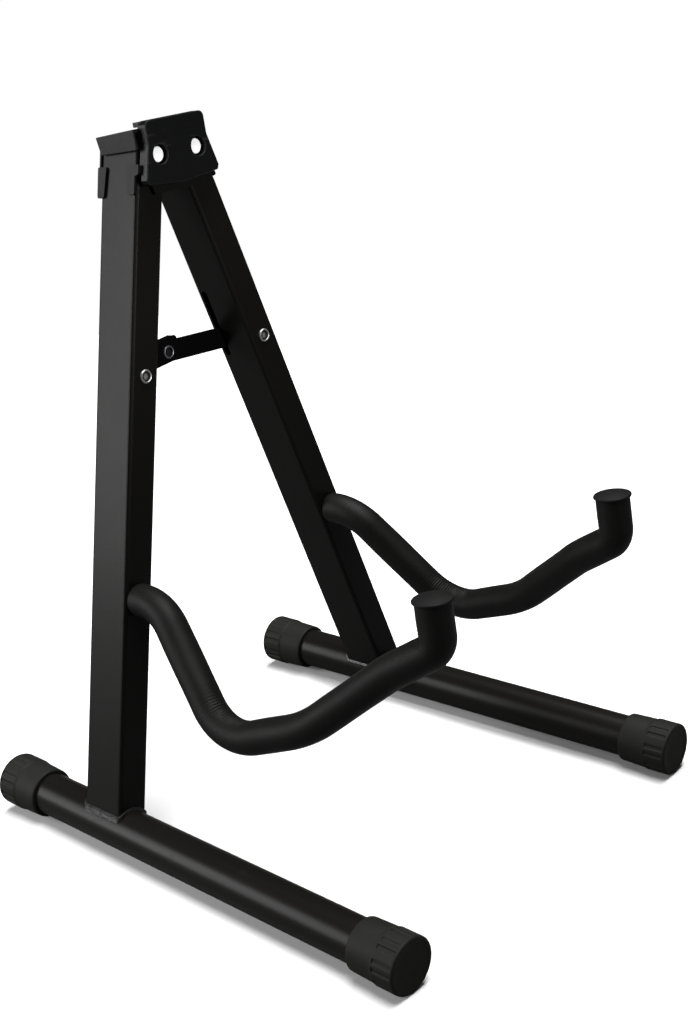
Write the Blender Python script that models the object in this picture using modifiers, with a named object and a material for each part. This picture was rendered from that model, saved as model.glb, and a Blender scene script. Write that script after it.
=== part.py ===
"""Folding A-frame guitar stand: two box legs on round foot tubes, foam covered cradle arms, a top
hinge with two pivot pins and a two-piece folding brace between the legs."""
import math

import bmesh
import bpy
from mathutils import Matrix, Vector

MM = 0.001
GAP = 0.3 * MM                     # clearance between touching pieces

# ---- overall stance -------------------------------------------------------------------------------
SPLAY = math.radians(16.1)         # each leg out from the middle plane
LEAN = math.radians(5.7)           # leg plane leaning back
TOE_OUT = math.radians(2.0)        # foot tubes opening toward the front
LEG_Y = 67.5 * MM                  # legs' foot point behind the middle of the footprint
FOOT_Z = 15.8 * MM                 # foot tube axis above the floor
FOOT_X = 120.6 * MM                # leg to middle plane at the foot tube axis
LEG_LEN = 382.0 * MM               # foot tube axis to the top pivot, along the leg

# ---- legs -----------------------------------------------------------------------------------------
LEG_W = 20.0 * MM
LEG_D = 30.0 * MM
LEG_WALL = 1.5 * MM
LEG_CORNER = 2.0 * MM
LEG_TOP = 7.0 * MM                 # tube end above the pivot
PLUG_TOP = 8.6 * MM

# ---- feet -----------------------------------------------------------------------------------------
TUBE_R = 12.5 * MM
TUBE_WALL = 1.5 * MM
FOOT_FRONT = 225.7 * MM            # leg axis to the front cap's end face
FOOT_REAR = 90.6 * MM
CAP_LEN = 32.0 * MM
CAP_FACE = 2.6 * MM
CAP_R0 = 14.7 * MM
CAP_R1 = 15.2 * MM
CAP_R2 = 15.8 * MM
CAP_RIBS = 8

# ---- cradle arms: centre line in the leg's own plane (forward of the leg axis, up the leg) ------------
ARM_ROD_R = 5.0 * MM
ARM_FOAM_R = 9.5 * MM
ARM_BASE = 133.0 * MM
ARM_PATH = [                       # forward, up, sideways, bend radius
    (33.5, 133.0, 0.0, 33.0),
    (88.5, 64.0, 0.0, 34.0),
    (147.0, 81.0, -0.5, 80.0),
    (200.0, 119.0, -2.0, 80.0),
    (230.0, 135.5, -2.0, 11.0),
]
ARM_TIP = (230.0, 158.5, 4.5)
TIP_R = 10.6 * MM

# ---- folding brace --------------------------------------------------------------------------------
BRACE_S = 259.4 * MM               # brace screws up the leg
BRACE_N = -6.8 * MM                # front face of the brace
BRACE_RISE = 3.5 * MM              # elbow above the line of the two screws
LINK_L1 = 40.0 * MM
LINK_T = 1.5 * MM
BAR_T = 2.5 * MM
BAR_H = 6.2 * MM
CHAN_TOP = 8.0 * MM

# ---- top hinge ------------------------------------------------------------------------------------
PIVOT_X = FOOT_X - LEG_LEN * math.sin(SPLAY)
PIVOT_U = LEG_LEN * math.cos(SPLAY)
WASHER_T = 0.8 * MM
PLATE_IN = LEG_D / 2 + WASHER_T + 2 * GAP
PLATE_T = 1.5 * MM
BACK_IN = LEG_D / 2 + GAP
BACK_T = 1.2 * MM
COVER_IN = PLATE_IN + PLATE_T + GAP
COVER_OUT = 23.0 * MM
PIN_R = 3.0 * MM
PIN_HEAD_R = 4.7 * MM
PIN_HEAD_T = 2.4 * MM
COVER_HOLE_R = 6.0 * MM
LUG_T = 1.5 * MM


# ---- frames ---------------------------------------------------------------------------------------
def hinge_frame():
    """Frame of the hinge plane: x right, y back, z up the leaning plane, at pivot height."""
    up = Vector((0, math.sin(LEAN), math.cos(LEAN)))
    back = Vector((0, math.cos(LEAN), -math.sin(LEAN)))
    origin = Vector((0, LEG_Y, FOOT_Z)) + up * PIVOT_U
    m = Matrix.Identity(4)
    for i in range(3):
        m[i][0] = (1, 0, 0)[i]
        m[i][1] = back[i]
        m[i][2] = up[i]
        m[i][3] = origin[i]
    return m


def leg_frame(side):
    """Frame of one leg, at its top pivot: x outward for the right leg, y back, z up the leg."""
    return (hinge_frame() @ Matrix.Translation((side * PIVOT_X, 0, 0))
            @ Matrix.Rotation(-side * SPLAY, 4, 'Y'))


def foot_frame(side):
    """Frame of one foot tube: origin under the leg, y toward the back along the tube."""
    return (Matrix.Translation((side * FOOT_X, LEG_Y, FOOT_Z))
            @ Matrix.Rotation(side * TOE_OUT, 4, 'Z'))


def up_leg(s):
    """Height in the leg frame of a point s above the foot tube axis."""
    return s - LEG_LEN


# ---- scene helpers --------------------------------------------------------------------------------
def clear_scene():
    """Remove every object and collection."""
    for ob in list(bpy.data.objects):
        bpy.data.objects.remove(ob, do_unlink=True)
    for col in list(bpy.data.collections):
        bpy.data.collections.remove(col)


def new_collection(name):
    """Linked collection."""
    col = bpy.data.collections.new(name)
    bpy.context.scene.collection.children.link(col)
    return col


def material(name, color, metallic, roughness):
    """Principled material."""
    mat = bpy.data.materials.new(name)
    mat.use_nodes = True
    bsdf = mat.node_tree.nodes["Principled BSDF"]
    bsdf.inputs["Base Color"].default_value = (color[0], color[1], color[2], 1)
    bsdf.inputs["Metallic"].default_value = metallic
    bsdf.inputs["Roughness"].default_value = roughness
    return mat


def add_object(name, mesh, mat, matrix, parent=None, smooth=False):
    """Object in the part collection at a world matrix."""
    ob = bpy.data.objects.new(name, mesh)
    PARTS.objects.link(ob)
    if mat is not None:
        mesh.materials.clear()
        mesh.materials.append(mat)
    if parent is not None:
        ob.parent = parent
        ob.matrix_local = parent.matrix_world.inverted() @ matrix
    else:
        ob.matrix_world = matrix
    if smooth:
        for p in mesh.polygons:
            p.use_smooth = True
    bpy.context.view_layer.update()
    return ob


def add_empty(name, matrix, parent=None):
    """Empty on a joint axis."""
    ob = bpy.data.objects.new(name, None)
    ob.empty_display_size = 0.02
    PARTS.objects.link(ob)
    if parent is not None:
        ob.parent = parent
        ob.matrix_local = parent.matrix_world.inverted() @ matrix
    else:
        ob.matrix_world = matrix
    bpy.context.view_layer.update()
    return ob


# ---- mesh helpers ---------------------------------------------------------------------------------
def corner_outline(points, radii, steps=4):
    """Closed outline with rounded corners."""
    out = []
    n = len(points)
    for i in range(n):
        p = Vector(points[i])
        a = Vector(points[i - 1])
        b = Vector(points[(i + 1) % n])
        r = radii[i]
        if r <= 0:
            out.append(p)
            continue
        da = (a - p).normalized()
        db = (b - p).normalized()
        half = da.angle(db) / 2
        t = r / math.tan(half)
        centre = p + (da + db).normalized() * (r / math.sin(half))
        v0 = p + da * t - centre
        v1 = p + db * t - centre
        total = v0.angle(v1)
        turn = 1 if v0.x * v1.y - v0.y * v1.x > 0 else -1
        for k in range(steps + 1):
            ang = turn * total * k / steps
            c, s = math.cos(ang), math.sin(ang)
            out.append(centre + Vector((v0.x * c - v0.y * s, v0.x * s + v0.y * c)))
    return out


def evaluated_mesh(source, name):
    """Mesh of a temporary object's evaluated shape; the object is removed."""
    TOOLS.objects.link(source)
    bpy.context.view_layer.update()
    deps = bpy.context.evaluated_depsgraph_get()
    mesh = bpy.data.meshes.new_from_object(source.evaluated_get(deps))
    bpy.data.objects.remove(source, do_unlink=True)
    bm = bmesh.new()
    bm.from_mesh(mesh)
    bmesh.ops.remove_doubles(bm, verts=bm.verts, dist=1e-7)
    bmesh.ops.recalc_face_normals(bm, faces=bm.faces)
    bm.to_mesh(mesh)
    bm.free()
    mesh.name = name
    return mesh


def turned_to(mesh, axis):
    """Turn a mesh made along z so that it lies along another axis."""
    if axis == 'y':
        mesh.transform(Matrix(((1, 0, 0, 0), (0, 0, 1, 0), (0, 1, 0, 0), (0, 0, 0, 1))))
        mesh.flip_normals()
    elif axis == 'x':
        mesh.transform(Matrix(((0, 0, 1, 0), (1, 0, 0, 0), (0, 1, 0, 0), (0, 0, 0, 1))))
    return mesh


def prism(name, outline, lo, hi, axis='z'):
    """Flat outline with thickness: a filled 2D curve extruded between lo and hi along the axis."""
    cu = bpy.data.curves.new(name, 'CURVE')
    cu.dimensions = '2D'
    cu.fill_mode = 'BOTH'
    cu.extrude = abs(hi - lo) / 2
    sp = cu.splines.new('POLY')
    sp.points.add(len(outline) - 1)
    for q, p in zip(sp.points, outline):
        q.co = (p[0], p[1], 0, 1)
    sp.use_cyclic_u = True
    mesh = evaluated_mesh(bpy.data.objects.new(name + "_outline", cu), name)
    mesh.transform(Matrix.Translation((0, 0, (lo + hi) / 2)))
    return turned_to(mesh, axis)


def rect(w, h, r, cx=0.0, cy=0.0, steps=4):
    """Rounded rectangle outline."""
    pts = [(cx - w / 2, cy - h / 2), (cx + w / 2, cy - h / 2),
           (cx + w / 2, cy + h / 2), (cx - w / 2, cy + h / 2)]
    return corner_outline(pts, [r] * 4, steps)


def box(name, x, y, z):
    """Closed box from ranges."""
    bm = bmesh.new()
    bmesh.ops.create_cube(bm, size=1.0)
    bmesh.ops.scale(bm, vec=(x[1] - x[0], y[1] - y[0], z[1] - z[0]), verts=bm.verts)
    bmesh.ops.translate(bm, vec=((x[0] + x[1]) / 2, (y[0] + y[1]) / 2, (z[0] + z[1]) / 2),
                        verts=bm.verts)
    mesh = bpy.data.meshes.new(name)
    bm.to_mesh(mesh)
    bm.free()
    return mesh


def lathe(name, profile, steps=48, axis='y'):
    """Turned solid: a profile of (radius, along axis) swept round by a Screw modifier."""
    closed = profile[0] == profile[-1]
    points = profile[:-1] if closed else profile
    last = len(points) - 1
    edges = [(i, i + 1) for i in range(last)] + ([(last, 0)] if closed else [])
    line = bpy.data.meshes.new(name + "_profile")
    line.from_pydata([(r, 0, h) for r, h in points], edges, [])
    source = bpy.data.objects.new(name + "_profile", line)
    mod = source.modifiers.new("turn", 'SCREW')
    mod.steps = steps
    mod.render_steps = steps
    mod.use_merge_vertices = True
    mod.merge_threshold = 1e-6
    return turned_to(evaluated_mesh(source, name), axis)


def cylinder(name, r, lo, hi, steps=40, axis='y'):
    """Closed cylinder."""
    bm = bmesh.new()
    bmesh.ops.create_cone(bm, cap_ends=True, segments=steps, radius1=r, radius2=r, depth=hi - lo)
    bmesh.ops.translate(bm, vec=(0, 0, (lo + hi) / 2), verts=bm.verts)
    mesh = bpy.data.meshes.new(name)
    bm.to_mesh(mesh)
    bm.free()
    return turned_to(mesh, axis)


def cut(target, mesh, matrix, operation='DIFFERENCE'):
    """Boolean the target with a mesh placed at a world matrix."""
    tool = bpy.data.objects.new(target.name + "_tool", mesh)
    TOOLS.objects.link(tool)
    tool.matrix_world = matrix
    tool.hide_render = True
    tool.display_type = 'WIRE'
    mod = target.modifiers.new("shape", 'BOOLEAN')
    mod.operation = operation
    mod.solver = 'EXACT'
    mod.object = tool
    bpy.context.view_layer.update()
    return tool


def round_edges(ob, width, segments=2, angle=40):
    """Bevel the sharp edges."""
    mod = ob.modifiers.new("round", 'BEVEL')
    mod.width = width
    mod.segments = segments
    mod.limit_method = 'ANGLE'
    mod.angle_limit = math.radians(angle)
    mod.use_clamp_overlap = True


def sweep_mesh(name, points, radius, resolution=3):
    """Closed round bar along a polyline."""
    cu = bpy.data.curves.new(name, 'CURVE')
    cu.dimensions = '3D'
    cu.resolution_u = 1
    cu.render_resolution_u = 0
    cu.bevel_depth = radius
    cu.bevel_resolution = resolution
    cu.use_fill_caps = True
    sp = cu.splines.new('POLY')
    sp.points.add(len(points) - 1)
    for q, p in zip(sp.points, points):
        q.co = (p[0], p[1], p[2], 1)
    return evaluated_mesh(bpy.data.objects.new(name + "_path", cu), name)


# ---- legs and feet ----------------------------------------------------------------------------------
def build_leg(side, name, parent):
    """Box section leg, coped onto the foot tube, slotted for the brace and drilled for its pins."""
    lo = up_leg(0.0)
    ob = add_object(name, prism(name, rect(LEG_W, LEG_D, LEG_CORNER), lo, LEG_TOP),
                    MATS['steel'], leg_frame(side), parent)
    frame = leg_frame(side)
    inner = prism("bore", rect(LEG_W - 2 * LEG_WALL, LEG_D - 2 * LEG_WALL, 0.8 * MM, steps=2),
                  lo - 5 * MM, LEG_TOP + 5 * MM)
    cut(ob, inner, frame)
    cut(ob, cylinder("cope", TUBE_R + GAP, -60 * MM, 60 * MM, 40), foot_frame(side))
    cut(ob, cylinder("pin", PIN_R + GAP, -20 * MM, 20 * MM, 28), frame)
    brace = frame @ Matrix.Translation((0, 0, up_leg(BRACE_S)))
    reach = 20 * MM if side < 0 else -5 * MM
    cut(ob, cylinder("screw", 2.5 * MM + GAP, -20 * MM, reach, 24), brace)
    arm = frame @ Matrix.Translation((0, 0, up_leg(ARM_BASE)))
    cut(ob, cylinder("arm", ARM_ROD_R + GAP, -20 * MM, -5 * MM, 32), arm)
    top = 54 * MM if side < 0 else 35 * MM
    wide, mid = (8.0 * MM, 9.15 * MM) if side < 0 else (4.4 * MM, 9.85 * MM)
    slot = prism("slot", rect(wide, top + 9 * MM, 2.0 * MM, mid,
                              up_leg(BRACE_S) + (top - 9 * MM) / 2, 4),
                 -side * 7.5 * MM, -side * 12 * MM, 'x')
    cut(ob, slot, frame)
    return ob


def build_leg_plug(side, name, parent):
    """Moulded plug closing the top of the leg."""
    w = LEG_W - 2 * LEG_WALL - 2 * GAP
    d = LEG_D - 2 * LEG_WALL - 2 * GAP
    ob = add_object(name, prism(name, rect(LEG_W, LEG_D, LEG_CORNER), LEG_TOP + GAP, PLUG_TOP),
                    MATS['plastic'], leg_frame(side), parent)
    cut(ob, prism("stem", rect(w, d, 0.6 * MM, steps=2), PIN_R + 0.8 * MM, LEG_TOP + 0.6 * MM),
        leg_frame(side), 'UNION')
    return ob


def build_foot_tube(side, name, parent):
    """Round foot tube with a small vent hole near its back end."""
    lo = -(FOOT_FRONT - CAP_FACE - GAP)
    hi = FOOT_REAR - CAP_FACE - GAP
    r0 = TUBE_R - TUBE_WALL
    ob = add_object(name, lathe(name, [(r0, lo), (TUBE_R, lo), (TUBE_R, hi), (r0, hi), (r0, lo)], 40),
                    MATS['tube'], foot_frame(side), parent, True)
    hole = foot_frame(side) @ Matrix.Translation((0, 47 * MM, 0)) @ Matrix.Rotation(
        side * math.radians(72), 4, 'Y')
    cut(ob, cylinder("vent", 1.1 * MM, 8 * MM, 16 * MM, 16, 'z'), hole)
    return ob


def build_foot_cap(side, front, name, parent):
    """Moulded end cap: smooth collar, ribbed grip band and flat rounded end."""
    length, face, bore = CAP_LEN, CAP_FACE, TUBE_R + GAP
    profile = [
        (0.0, 0.0), (CAP_R0 - 0.8 * MM, 0.0), (CAP_R0, 1.0 * MM), (CAP_R1, length * 0.52),
        (CAP_R2, length * 0.6), (CAP_R2, length - 1.5 * MM), (CAP_R2 - 1.5 * MM, length), (0.0, length),
    ]
    outer = lathe(name, profile, 40)
    flip = Matrix.Rotation(math.pi, 4, 'Z') if front else Matrix.Identity(4)
    start = -(FOOT_FRONT - length) if front else FOOT_REAR - length
    frame = foot_frame(side) @ Matrix.Translation((0, start, 0)) @ flip
    ob = add_object(name, outer, MATS['rubber'], frame, parent, True)
    cut(ob, cylinder("socket", bore, -2 * MM, length - face, 36), frame)
    for k in range(CAP_RIBS):
        ang = 2 * math.pi * (k + 0.5) / CAP_RIBS
        turn = frame @ Matrix.Rotation(ang, 4, 'Y')
        groove = box("groove", (-1.7 * MM, 1.7 * MM), (length * 0.60, length - 2.6 * MM),
                     (CAP_R2 - 0.75 * MM, CAP_R2 + 2 * MM))
        cut(ob, groove, turn)
    return ob


def build_foot_weld(side, name, parent):
    """Weld bead around the leg where it meets the foot tube."""
    frame = leg_frame(side)
    lo = up_leg(3 * MM)
    hi = up_leg(24 * MM)
    ob = add_object(name, prism(name, rect(LEG_W + 2.6 * MM, LEG_D + 2.6 * MM, 3.2 * MM), lo, hi),
                    MATS['weld'], frame, parent)
    cut(ob, cylinder("outer", TUBE_R + 1.9 * MM, -60 * MM, 60 * MM, 40), foot_frame(side), 'INTERSECT')
    cut(ob, cylinder("inner", TUBE_R + GAP, -62 * MM, 62 * MM, 40), foot_frame(side))
    cut(ob, prism("leg", rect(LEG_W + 2 * GAP, LEG_D + 2 * GAP, LEG_CORNER + GAP), lo - 20 * MM,
                  hi + 20 * MM), frame)
    return ob


# ---- cradle arms --------------------------------------------------------------------------------------
def arm_point(side, forward, up, sideways):
    """Arm path point in the leg frame."""
    return Vector((side * sideways, -forward, up_leg(0.0) + up))


def arm_path(side, start, end_up):
    """Centre line of the arm: straight runs joined by bends, from the leg to the tip."""
    tip = ARM_TIP
    corners = [arm_point(side, start, ARM_BASE, 0.0)]
    radii = [0.0]
    for f, u, w, r in ARM_PATH:
        corners.append(arm_point(side, f * MM, u * MM, w * MM))
        radii.append(r * MM)
    share = (end_up - ARM_PATH[-1][1]) / (tip[1] - ARM_PATH[-1][1])
    side_end = ARM_PATH[-1][2] + (tip[2] - ARM_PATH[-1][2]) * share
    corners.append(arm_point(side, tip[0] * MM, end_up * MM, side_end * MM))
    radii.append(0.0)
    path = [corners[0]]
    for i in range(1, len(corners) - 1):
        p, a, b = corners[i], corners[i - 1], corners[i + 1]
        da = (a - p).normalized()
        db = (b - p).normalized()
        half = da.angle(db) / 2
        r = radii[i]
        t = r / math.tan(half)
        centre = p + (da + db).normalized() * (r / math.sin(half))
        v0 = (p + da * t) - centre
        v1 = (p + db * t) - centre
        total = v0.angle(v1)
        steps = max(2, int(math.degrees(total) / 9))
        for k in range(steps + 1):
            f0 = math.sin((1 - k / steps) * total) / math.sin(total)
            f1 = math.sin(k / steps * total) / math.sin(total)
            path.append(centre + v0 * f0 + v1 * f1)
    path.append(corners[-1])
    return path


def build_arm_rod(side, name, parent):
    """Bent steel rod of the arm, let into the leg."""
    path = arm_path(side, -(LEG_D / 2 - LEG_WALL - GAP), ARM_TIP[1] + 1.0)
    return add_object(name, sweep_mesh(name, path, ARM_ROD_R, 3), MATS['steel'], leg_frame(side),
                      parent, True)


def build_arm_foam(side, name, parent):
    """Foam sleeve over the rod, from the leg's front face to the tip."""
    path = arm_path(side, LEG_D / 2 + GAP, ARM_TIP[1])
    ob = add_object(name, sweep_mesh(name, path, ARM_FOAM_R, 4), MATS['foam'], leg_frame(side),
                    parent, True)
    bore = arm_path(side, LEG_D / 2 - 6 * MM, ARM_TIP[1] + 6.0)
    cut(ob, sweep_mesh("bore", bore, ARM_ROD_R + GAP, 3), leg_frame(side))
    return ob


def build_arm_tip(side, name, parent):
    """Round moulded end cap on the arm, pressed over the rod's end."""
    path = arm_path(side, LEG_D / 2, ARM_TIP[1])
    axis = (path[-1] - path[-2]).normalized()
    quat = Vector((0, 0, 1)).rotation_difference(axis)
    frame = leg_frame(side) @ Matrix.Translation(path[-1]) @ quat.to_matrix().to_4x4()
    rod_end = 1.0 * MM
    profile = [
        (0.0, GAP), (TIP_R - 1.0 * MM, GAP), (TIP_R - 0.25 * MM, GAP + 0.3 * MM), (TIP_R, GAP + 0.9 * MM),
        (TIP_R - 0.3 * MM, 2.0 * MM), (TIP_R - 1.6 * MM, 2.9 * MM), (TIP_R * 0.55, 3.5 * MM),
        (0.0, 3.7 * MM),
    ]
    ob = add_object(name, lathe(name, profile, 28, 'z'), MATS['rubber'], frame, parent, True)
    cut(ob, cylinder("socket", ARM_ROD_R + GAP, -3 * MM, rod_end + 3 * GAP, 32, 'z'), frame)
    return ob


# ---- folding brace --------------------------------------------------------------------------------------
def brace_layout():
    """Screw and elbow positions in the hinge frame (x, z) and the link's angles."""
    half = PIVOT_X + (LEG_LEN - BRACE_S) * math.sin(SPLAY)
    z = -(LEG_LEN - BRACE_S) * math.cos(SPLAY)
    a0 = math.asin(BRACE_RISE / LINK_L1)
    elbow = (-half + LINK_L1 * math.cos(a0), z + BRACE_RISE)
    l2 = math.hypot(half - elbow[0], BRACE_RISE)
    b0 = math.asin(BRACE_RISE / l2)
    return half, z, elbow, a0, b0, l2


def brace_frame(x, z, angle):
    """Hinge frame moved to a brace point and turned up by an angle."""
    return hinge_frame() @ Matrix.Translation((x, 0, z)) @ Matrix.Rotation(-angle, 4, 'Y')


def build_brace_channel(name, parent):
    """Short brace link: pressed channel with a top flange, hinged on the left leg."""
    half, z, elbow, a0, b0, l2 = brace_layout()
    frame = brace_frame(-half, z, a0)
    y0 = -BRACE_N
    end = LINK_L1 + 8.5 * MM
    pts = [(-BAR_H, -BAR_H), (end, -BAR_H), (end, CHAN_TOP), (6.5 * MM, CHAN_TOP), (0.5 * MM, BAR_H),
           (-BAR_H, BAR_H)]
    web = prism(name, corner_outline(pts, [BAR_H * 0.98, 1.5 * MM, 1.5 * MM, 1.5 * MM, 1.0 * MM,
                                           BAR_H * 0.8]), y0, y0 + LINK_T, 'y')
    ob = add_object(name, web, MATS['steel'], frame, parent)
    flange = box("flange", (9 * MM, end - 1.6 * MM), (y0 + 0.4 * MM, y0 + 5.6 * MM),
                 (CHAN_TOP - LINK_T - 0.1 * MM, CHAN_TOP - 0.1 * MM))
    cut(ob, flange, frame, 'UNION')
    cut(ob, cylinder("screw", 2.5 * MM + GAP, -5 * MM, 20 * MM, 24), frame)
    cut(ob, cylinder("rivet", 3.0 * MM + GAP, -5 * MM, 20 * MM, 28),
        frame @ Matrix.Translation((LINK_L1, 0, 0)))
    return ob


def build_brace_bar(name, parent):
    """Long brace link: flat bar, hinged at the elbow, its free end inside the right leg."""
    half, z, elbow, a0, b0, l2 = brace_layout()
    frame = brace_frame(elbow[0], elbow[1], -b0)
    y0 = -BRACE_N + LINK_T + GAP
    end = l2 - 1.5 * MM
    pts = [(-BAR_H + 0.2 * MM, -BAR_H), (end, -BAR_H), (end, BAR_H), (-BAR_H + 0.2 * MM, BAR_H)]
    bar = prism(name, corner_outline(pts, [BAR_H * 0.95, BAR_H * 0.9, BAR_H * 0.9, BAR_H * 0.95]),
                y0, y0 + BAR_T, 'y')
    ob = add_object(name, bar, MATS['steel'], frame, parent)
    cut(ob, cylinder("rivet", 3.0 * MM + GAP, -5 * MM, 30 * MM, 28), frame)
    return ob


def build_elbow_rivet(name, parent):
    """Hollow rivet through both brace links."""
    half, z, elbow, a0, b0, l2 = brace_layout()
    frame = brace_frame(elbow[0], elbow[1], a0)
    y0 = -BRACE_N
    y1 = y0 + LINK_T + GAP + BAR_T
    r, rb, rh = 3.0 * MM, 2.1 * MM, 4.1 * MM
    profile = [
        (rb, y0 - 1.0 * MM), (rb + 0.5 * MM, y0 - 1.3 * MM), (rh - 0.5 * MM, y0 - 1.2 * MM),
        (rh, y0 - 0.8 * MM), (rh, y0 - GAP), (r, y0 - GAP), (r, y1 + GAP), (rh, y1 + GAP),
        (rh, y1 + 1.2 * MM), (rb, y1 + 1.2 * MM), (rb, y0 - 1.0 * MM),
    ]
    return add_object(name, lathe(name, profile, 24), MATS['steel'], frame, parent, True)


def build_brace_screw(side, name, parent):
    """Socket head barrel screw through the leg's front wall."""
    frame = leg_frame(side) @ Matrix.Translation((0, 0, up_leg(BRACE_S)))
    f = -(LEG_D / 2 + GAP)
    tail = LEG_D / 2 + 1.2 * MM if side < 0 else 2.0 * MM
    r, rh = 2.5 * MM, 4.4 * MM
    profile = [
        (0.0, f - 1.4 * MM), (rh - 1.0 * MM, f - 1.4 * MM), (rh - 0.3 * MM, f - 1.15 * MM),
        (rh, f - 0.6 * MM), (rh, f), (r, f), (r, tail), (0.0, tail),
    ]
    ob = add_object(name, lathe(name, profile, 24), MATS['zinc'], frame, parent, True)
    socket = prism("socket", [(2.1 * MM * math.cos(math.radians(60 * k)),
                               2.1 * MM * math.sin(math.radians(60 * k))) for k in range(6)],
                   f - 3 * MM, f - 0.2 * MM, 'y')
    cut(ob, socket, frame)
    return ob


def build_bush(name, lo, hi, side, parent):
    """Plastic spacer bush on a brace screw inside the leg."""
    frame = leg_frame(side) @ Matrix.Translation((0, 0, up_leg(BRACE_S)))
    r0, r1 = 2.5 * MM + GAP, 4.6 * MM
    profile = [(r0, lo), (r1, lo), (r1, hi), (r0, hi), (r0, lo)]
    return add_object(name, lathe(name, profile, 20), MATS['plastic'], frame, parent, True)


# ---- top hinge --------------------------------------------------------------------------------------
def build_front_plate(name):
    """Steel front hinge plate with a stop lug folded over each leg's outer face."""
    frame = hinge_frame()
    pts = [(-19.0, -21.4), (19.0, -21.4), (22.0, -12), (19.6, 5), (19.6, 15.5), (-19.6, 15.5),
           (-19.6, 5), (-22.0, -12)]
    out = corner_outline([(a * MM, b * MM) for a, b in pts],
                         [1.5 * MM, 1.5 * MM, 2 * MM, 2 * MM, 2 * MM, 2 * MM, 2 * MM, 2 * MM])
    ob = add_object(name, prism(name, out, -PLATE_IN - PLATE_T, -PLATE_IN, 'y'), MATS['steel'], frame)
    stand_off = LEG_W / 2 + GAP
    for side in (-1, 1):
        web = sorted((side * stand_off, side * (stand_off + LUG_T)))
        lug = [(-8.6, -23.0), (-15.0, -23.0), (-15.0, -13.0), (-17.85, -12.0), (-17.85, -6.8), (-8.6, -6.8)]
        lug = corner_outline([(a * MM, b * MM) for a, b in lug],
                             [1.4 * MM, 1.0 * MM, 0.8 * MM, 0.8 * MM, 0.4 * MM, 1.2 * MM])
        cut(ob, folded_strip(side, -PLATE_IN - PLATE_T, -PLATE_IN, (-11.0 * MM, -7.4 * MM)),
            leg_frame(side), 'UNION')
        cut(ob, prism("lug", lug, web[0], web[1], 'x'), leg_frame(side), 'UNION')
        cut(ob, cylinder("pin", PIN_R + GAP, -30 * MM, 0, 28), leg_frame(side))
    return ob


def build_back_plate(name):
    """Steel back hinge plate, close behind the legs, with a tapered stop lug on each side."""
    frame = hinge_frame()
    pts = [(-25, -15), (25, -15), (27.6, -8), (23.9, 4.6), (21.8, 11.5), (-21.8, 11.5), (-23.9, 4.6),
           (-27.6, -8)]
    out = corner_outline([(a * MM, b * MM) for a, b in pts],
                         [1.0 * MM, 1.0 * MM, 1 * MM, 2 * MM, 2 * MM, 2 * MM, 2 * MM, 1 * MM])
    ob = add_object(name, prism(name, out, BACK_IN, BACK_IN + BACK_T, 'y'), MATS['steel'], frame)
    stand_off = LEG_W / 2 + GAP
    for side in (-1, 1):
        web = sorted((side * stand_off, side * (stand_off + BACK_T)))
        lug = [(16.2, -24.0), (10.8, -24.0), (9.2, -6.8), (16.2, -6.8)]
        lug = corner_outline([(a * MM, b * MM) for a, b in lug],
                             [1.2 * MM, 1.6 * MM, 1.2 * MM, 0.6 * MM])
        cut(ob, folded_strip(side, BACK_IN, BACK_IN + BACK_T, (-21.8 * MM, -8.2 * MM)),
            leg_frame(side), 'UNION')
        cut(ob, prism("lug", lug, web[0], web[1], 'x'), leg_frame(side), 'UNION')
        cut(ob, cylinder("pin", PIN_R + GAP, 0, 30 * MM, 28), leg_frame(side))
    return ob


def folded_strip(side, lo, hi, z):
    """Flat strip of a hinge plate that runs out to a lug, in the leg frame."""
    end = side * (LEG_W / 2 + 1.4 * MM)
    return box("strip", sorted((side * 0.5 * MM, end)), (lo + 0.15 * MM, hi - 0.15 * MM), z)


def cover_outline(inset):
    """Outline of the front cover, drawn in by an inset."""
    k = inset / MM
    pts = [(-28.2 + k, -12.5), (-27.0 + k, -15.2 + k), (0, -17.4 + k), (27.0 - k, -15.2 + k),
           (28.2 - k, -12.5), (22.6 - k, 6), (22.6 - k, 19 - k), (-22.6 + k, 19 - k), (-22.6 + k, 6)]
    r = [1.5, 1.5, 40, 1.5, 1.5, 2, 3.4 - 0.6 * k, 3.4 - 0.6 * k, 2]
    return corner_outline([(a * MM, b * MM) for a, b in pts], [v * MM for v in r])


def build_front_cover(name):
    """Moulded front cover over the steel plate, with a hole over each pin and a lip at the top."""
    frame = hinge_frame()
    ob = add_object(name, prism(name, cover_outline(0.0), -COVER_OUT, -PLATE_IN + 2.2 * MM, 'y'),
                    MATS['plastic'], frame)
    round_edges(ob, 1.0 * MM, 2)
    pocket = prism("pocket", cover_outline(1.5 * MM), -COVER_IN, 0, 'y')
    cut(ob, pocket, frame)
    relief = box("relief", (-40 * MM, 40 * MM), (-COVER_IN - 0.1 * MM, 0), (-30 * MM, -4.5 * MM))
    cut(ob, relief, frame)
    cut(ob, box("trim", (-40 * MM, 40 * MM), (-PLATE_IN - 0.2 * MM, 0), (-30 * MM, 30 * MM)), frame)
    lip = box("lip", (-20.7 * MM, 20.7 * MM), (-PLATE_IN - 1.5 * MM, -12.0 * MM), (16.7 * MM, 18.0 * MM))
    cut(ob, lip, frame, 'UNION')
    for side in (-1, 1):
        cut(ob, cylinder("sight", COVER_HOLE_R, -30 * MM, 0, 40),
            frame @ Matrix.Translation((side * PIVOT_X, 0, 0)))
    return ob


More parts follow.
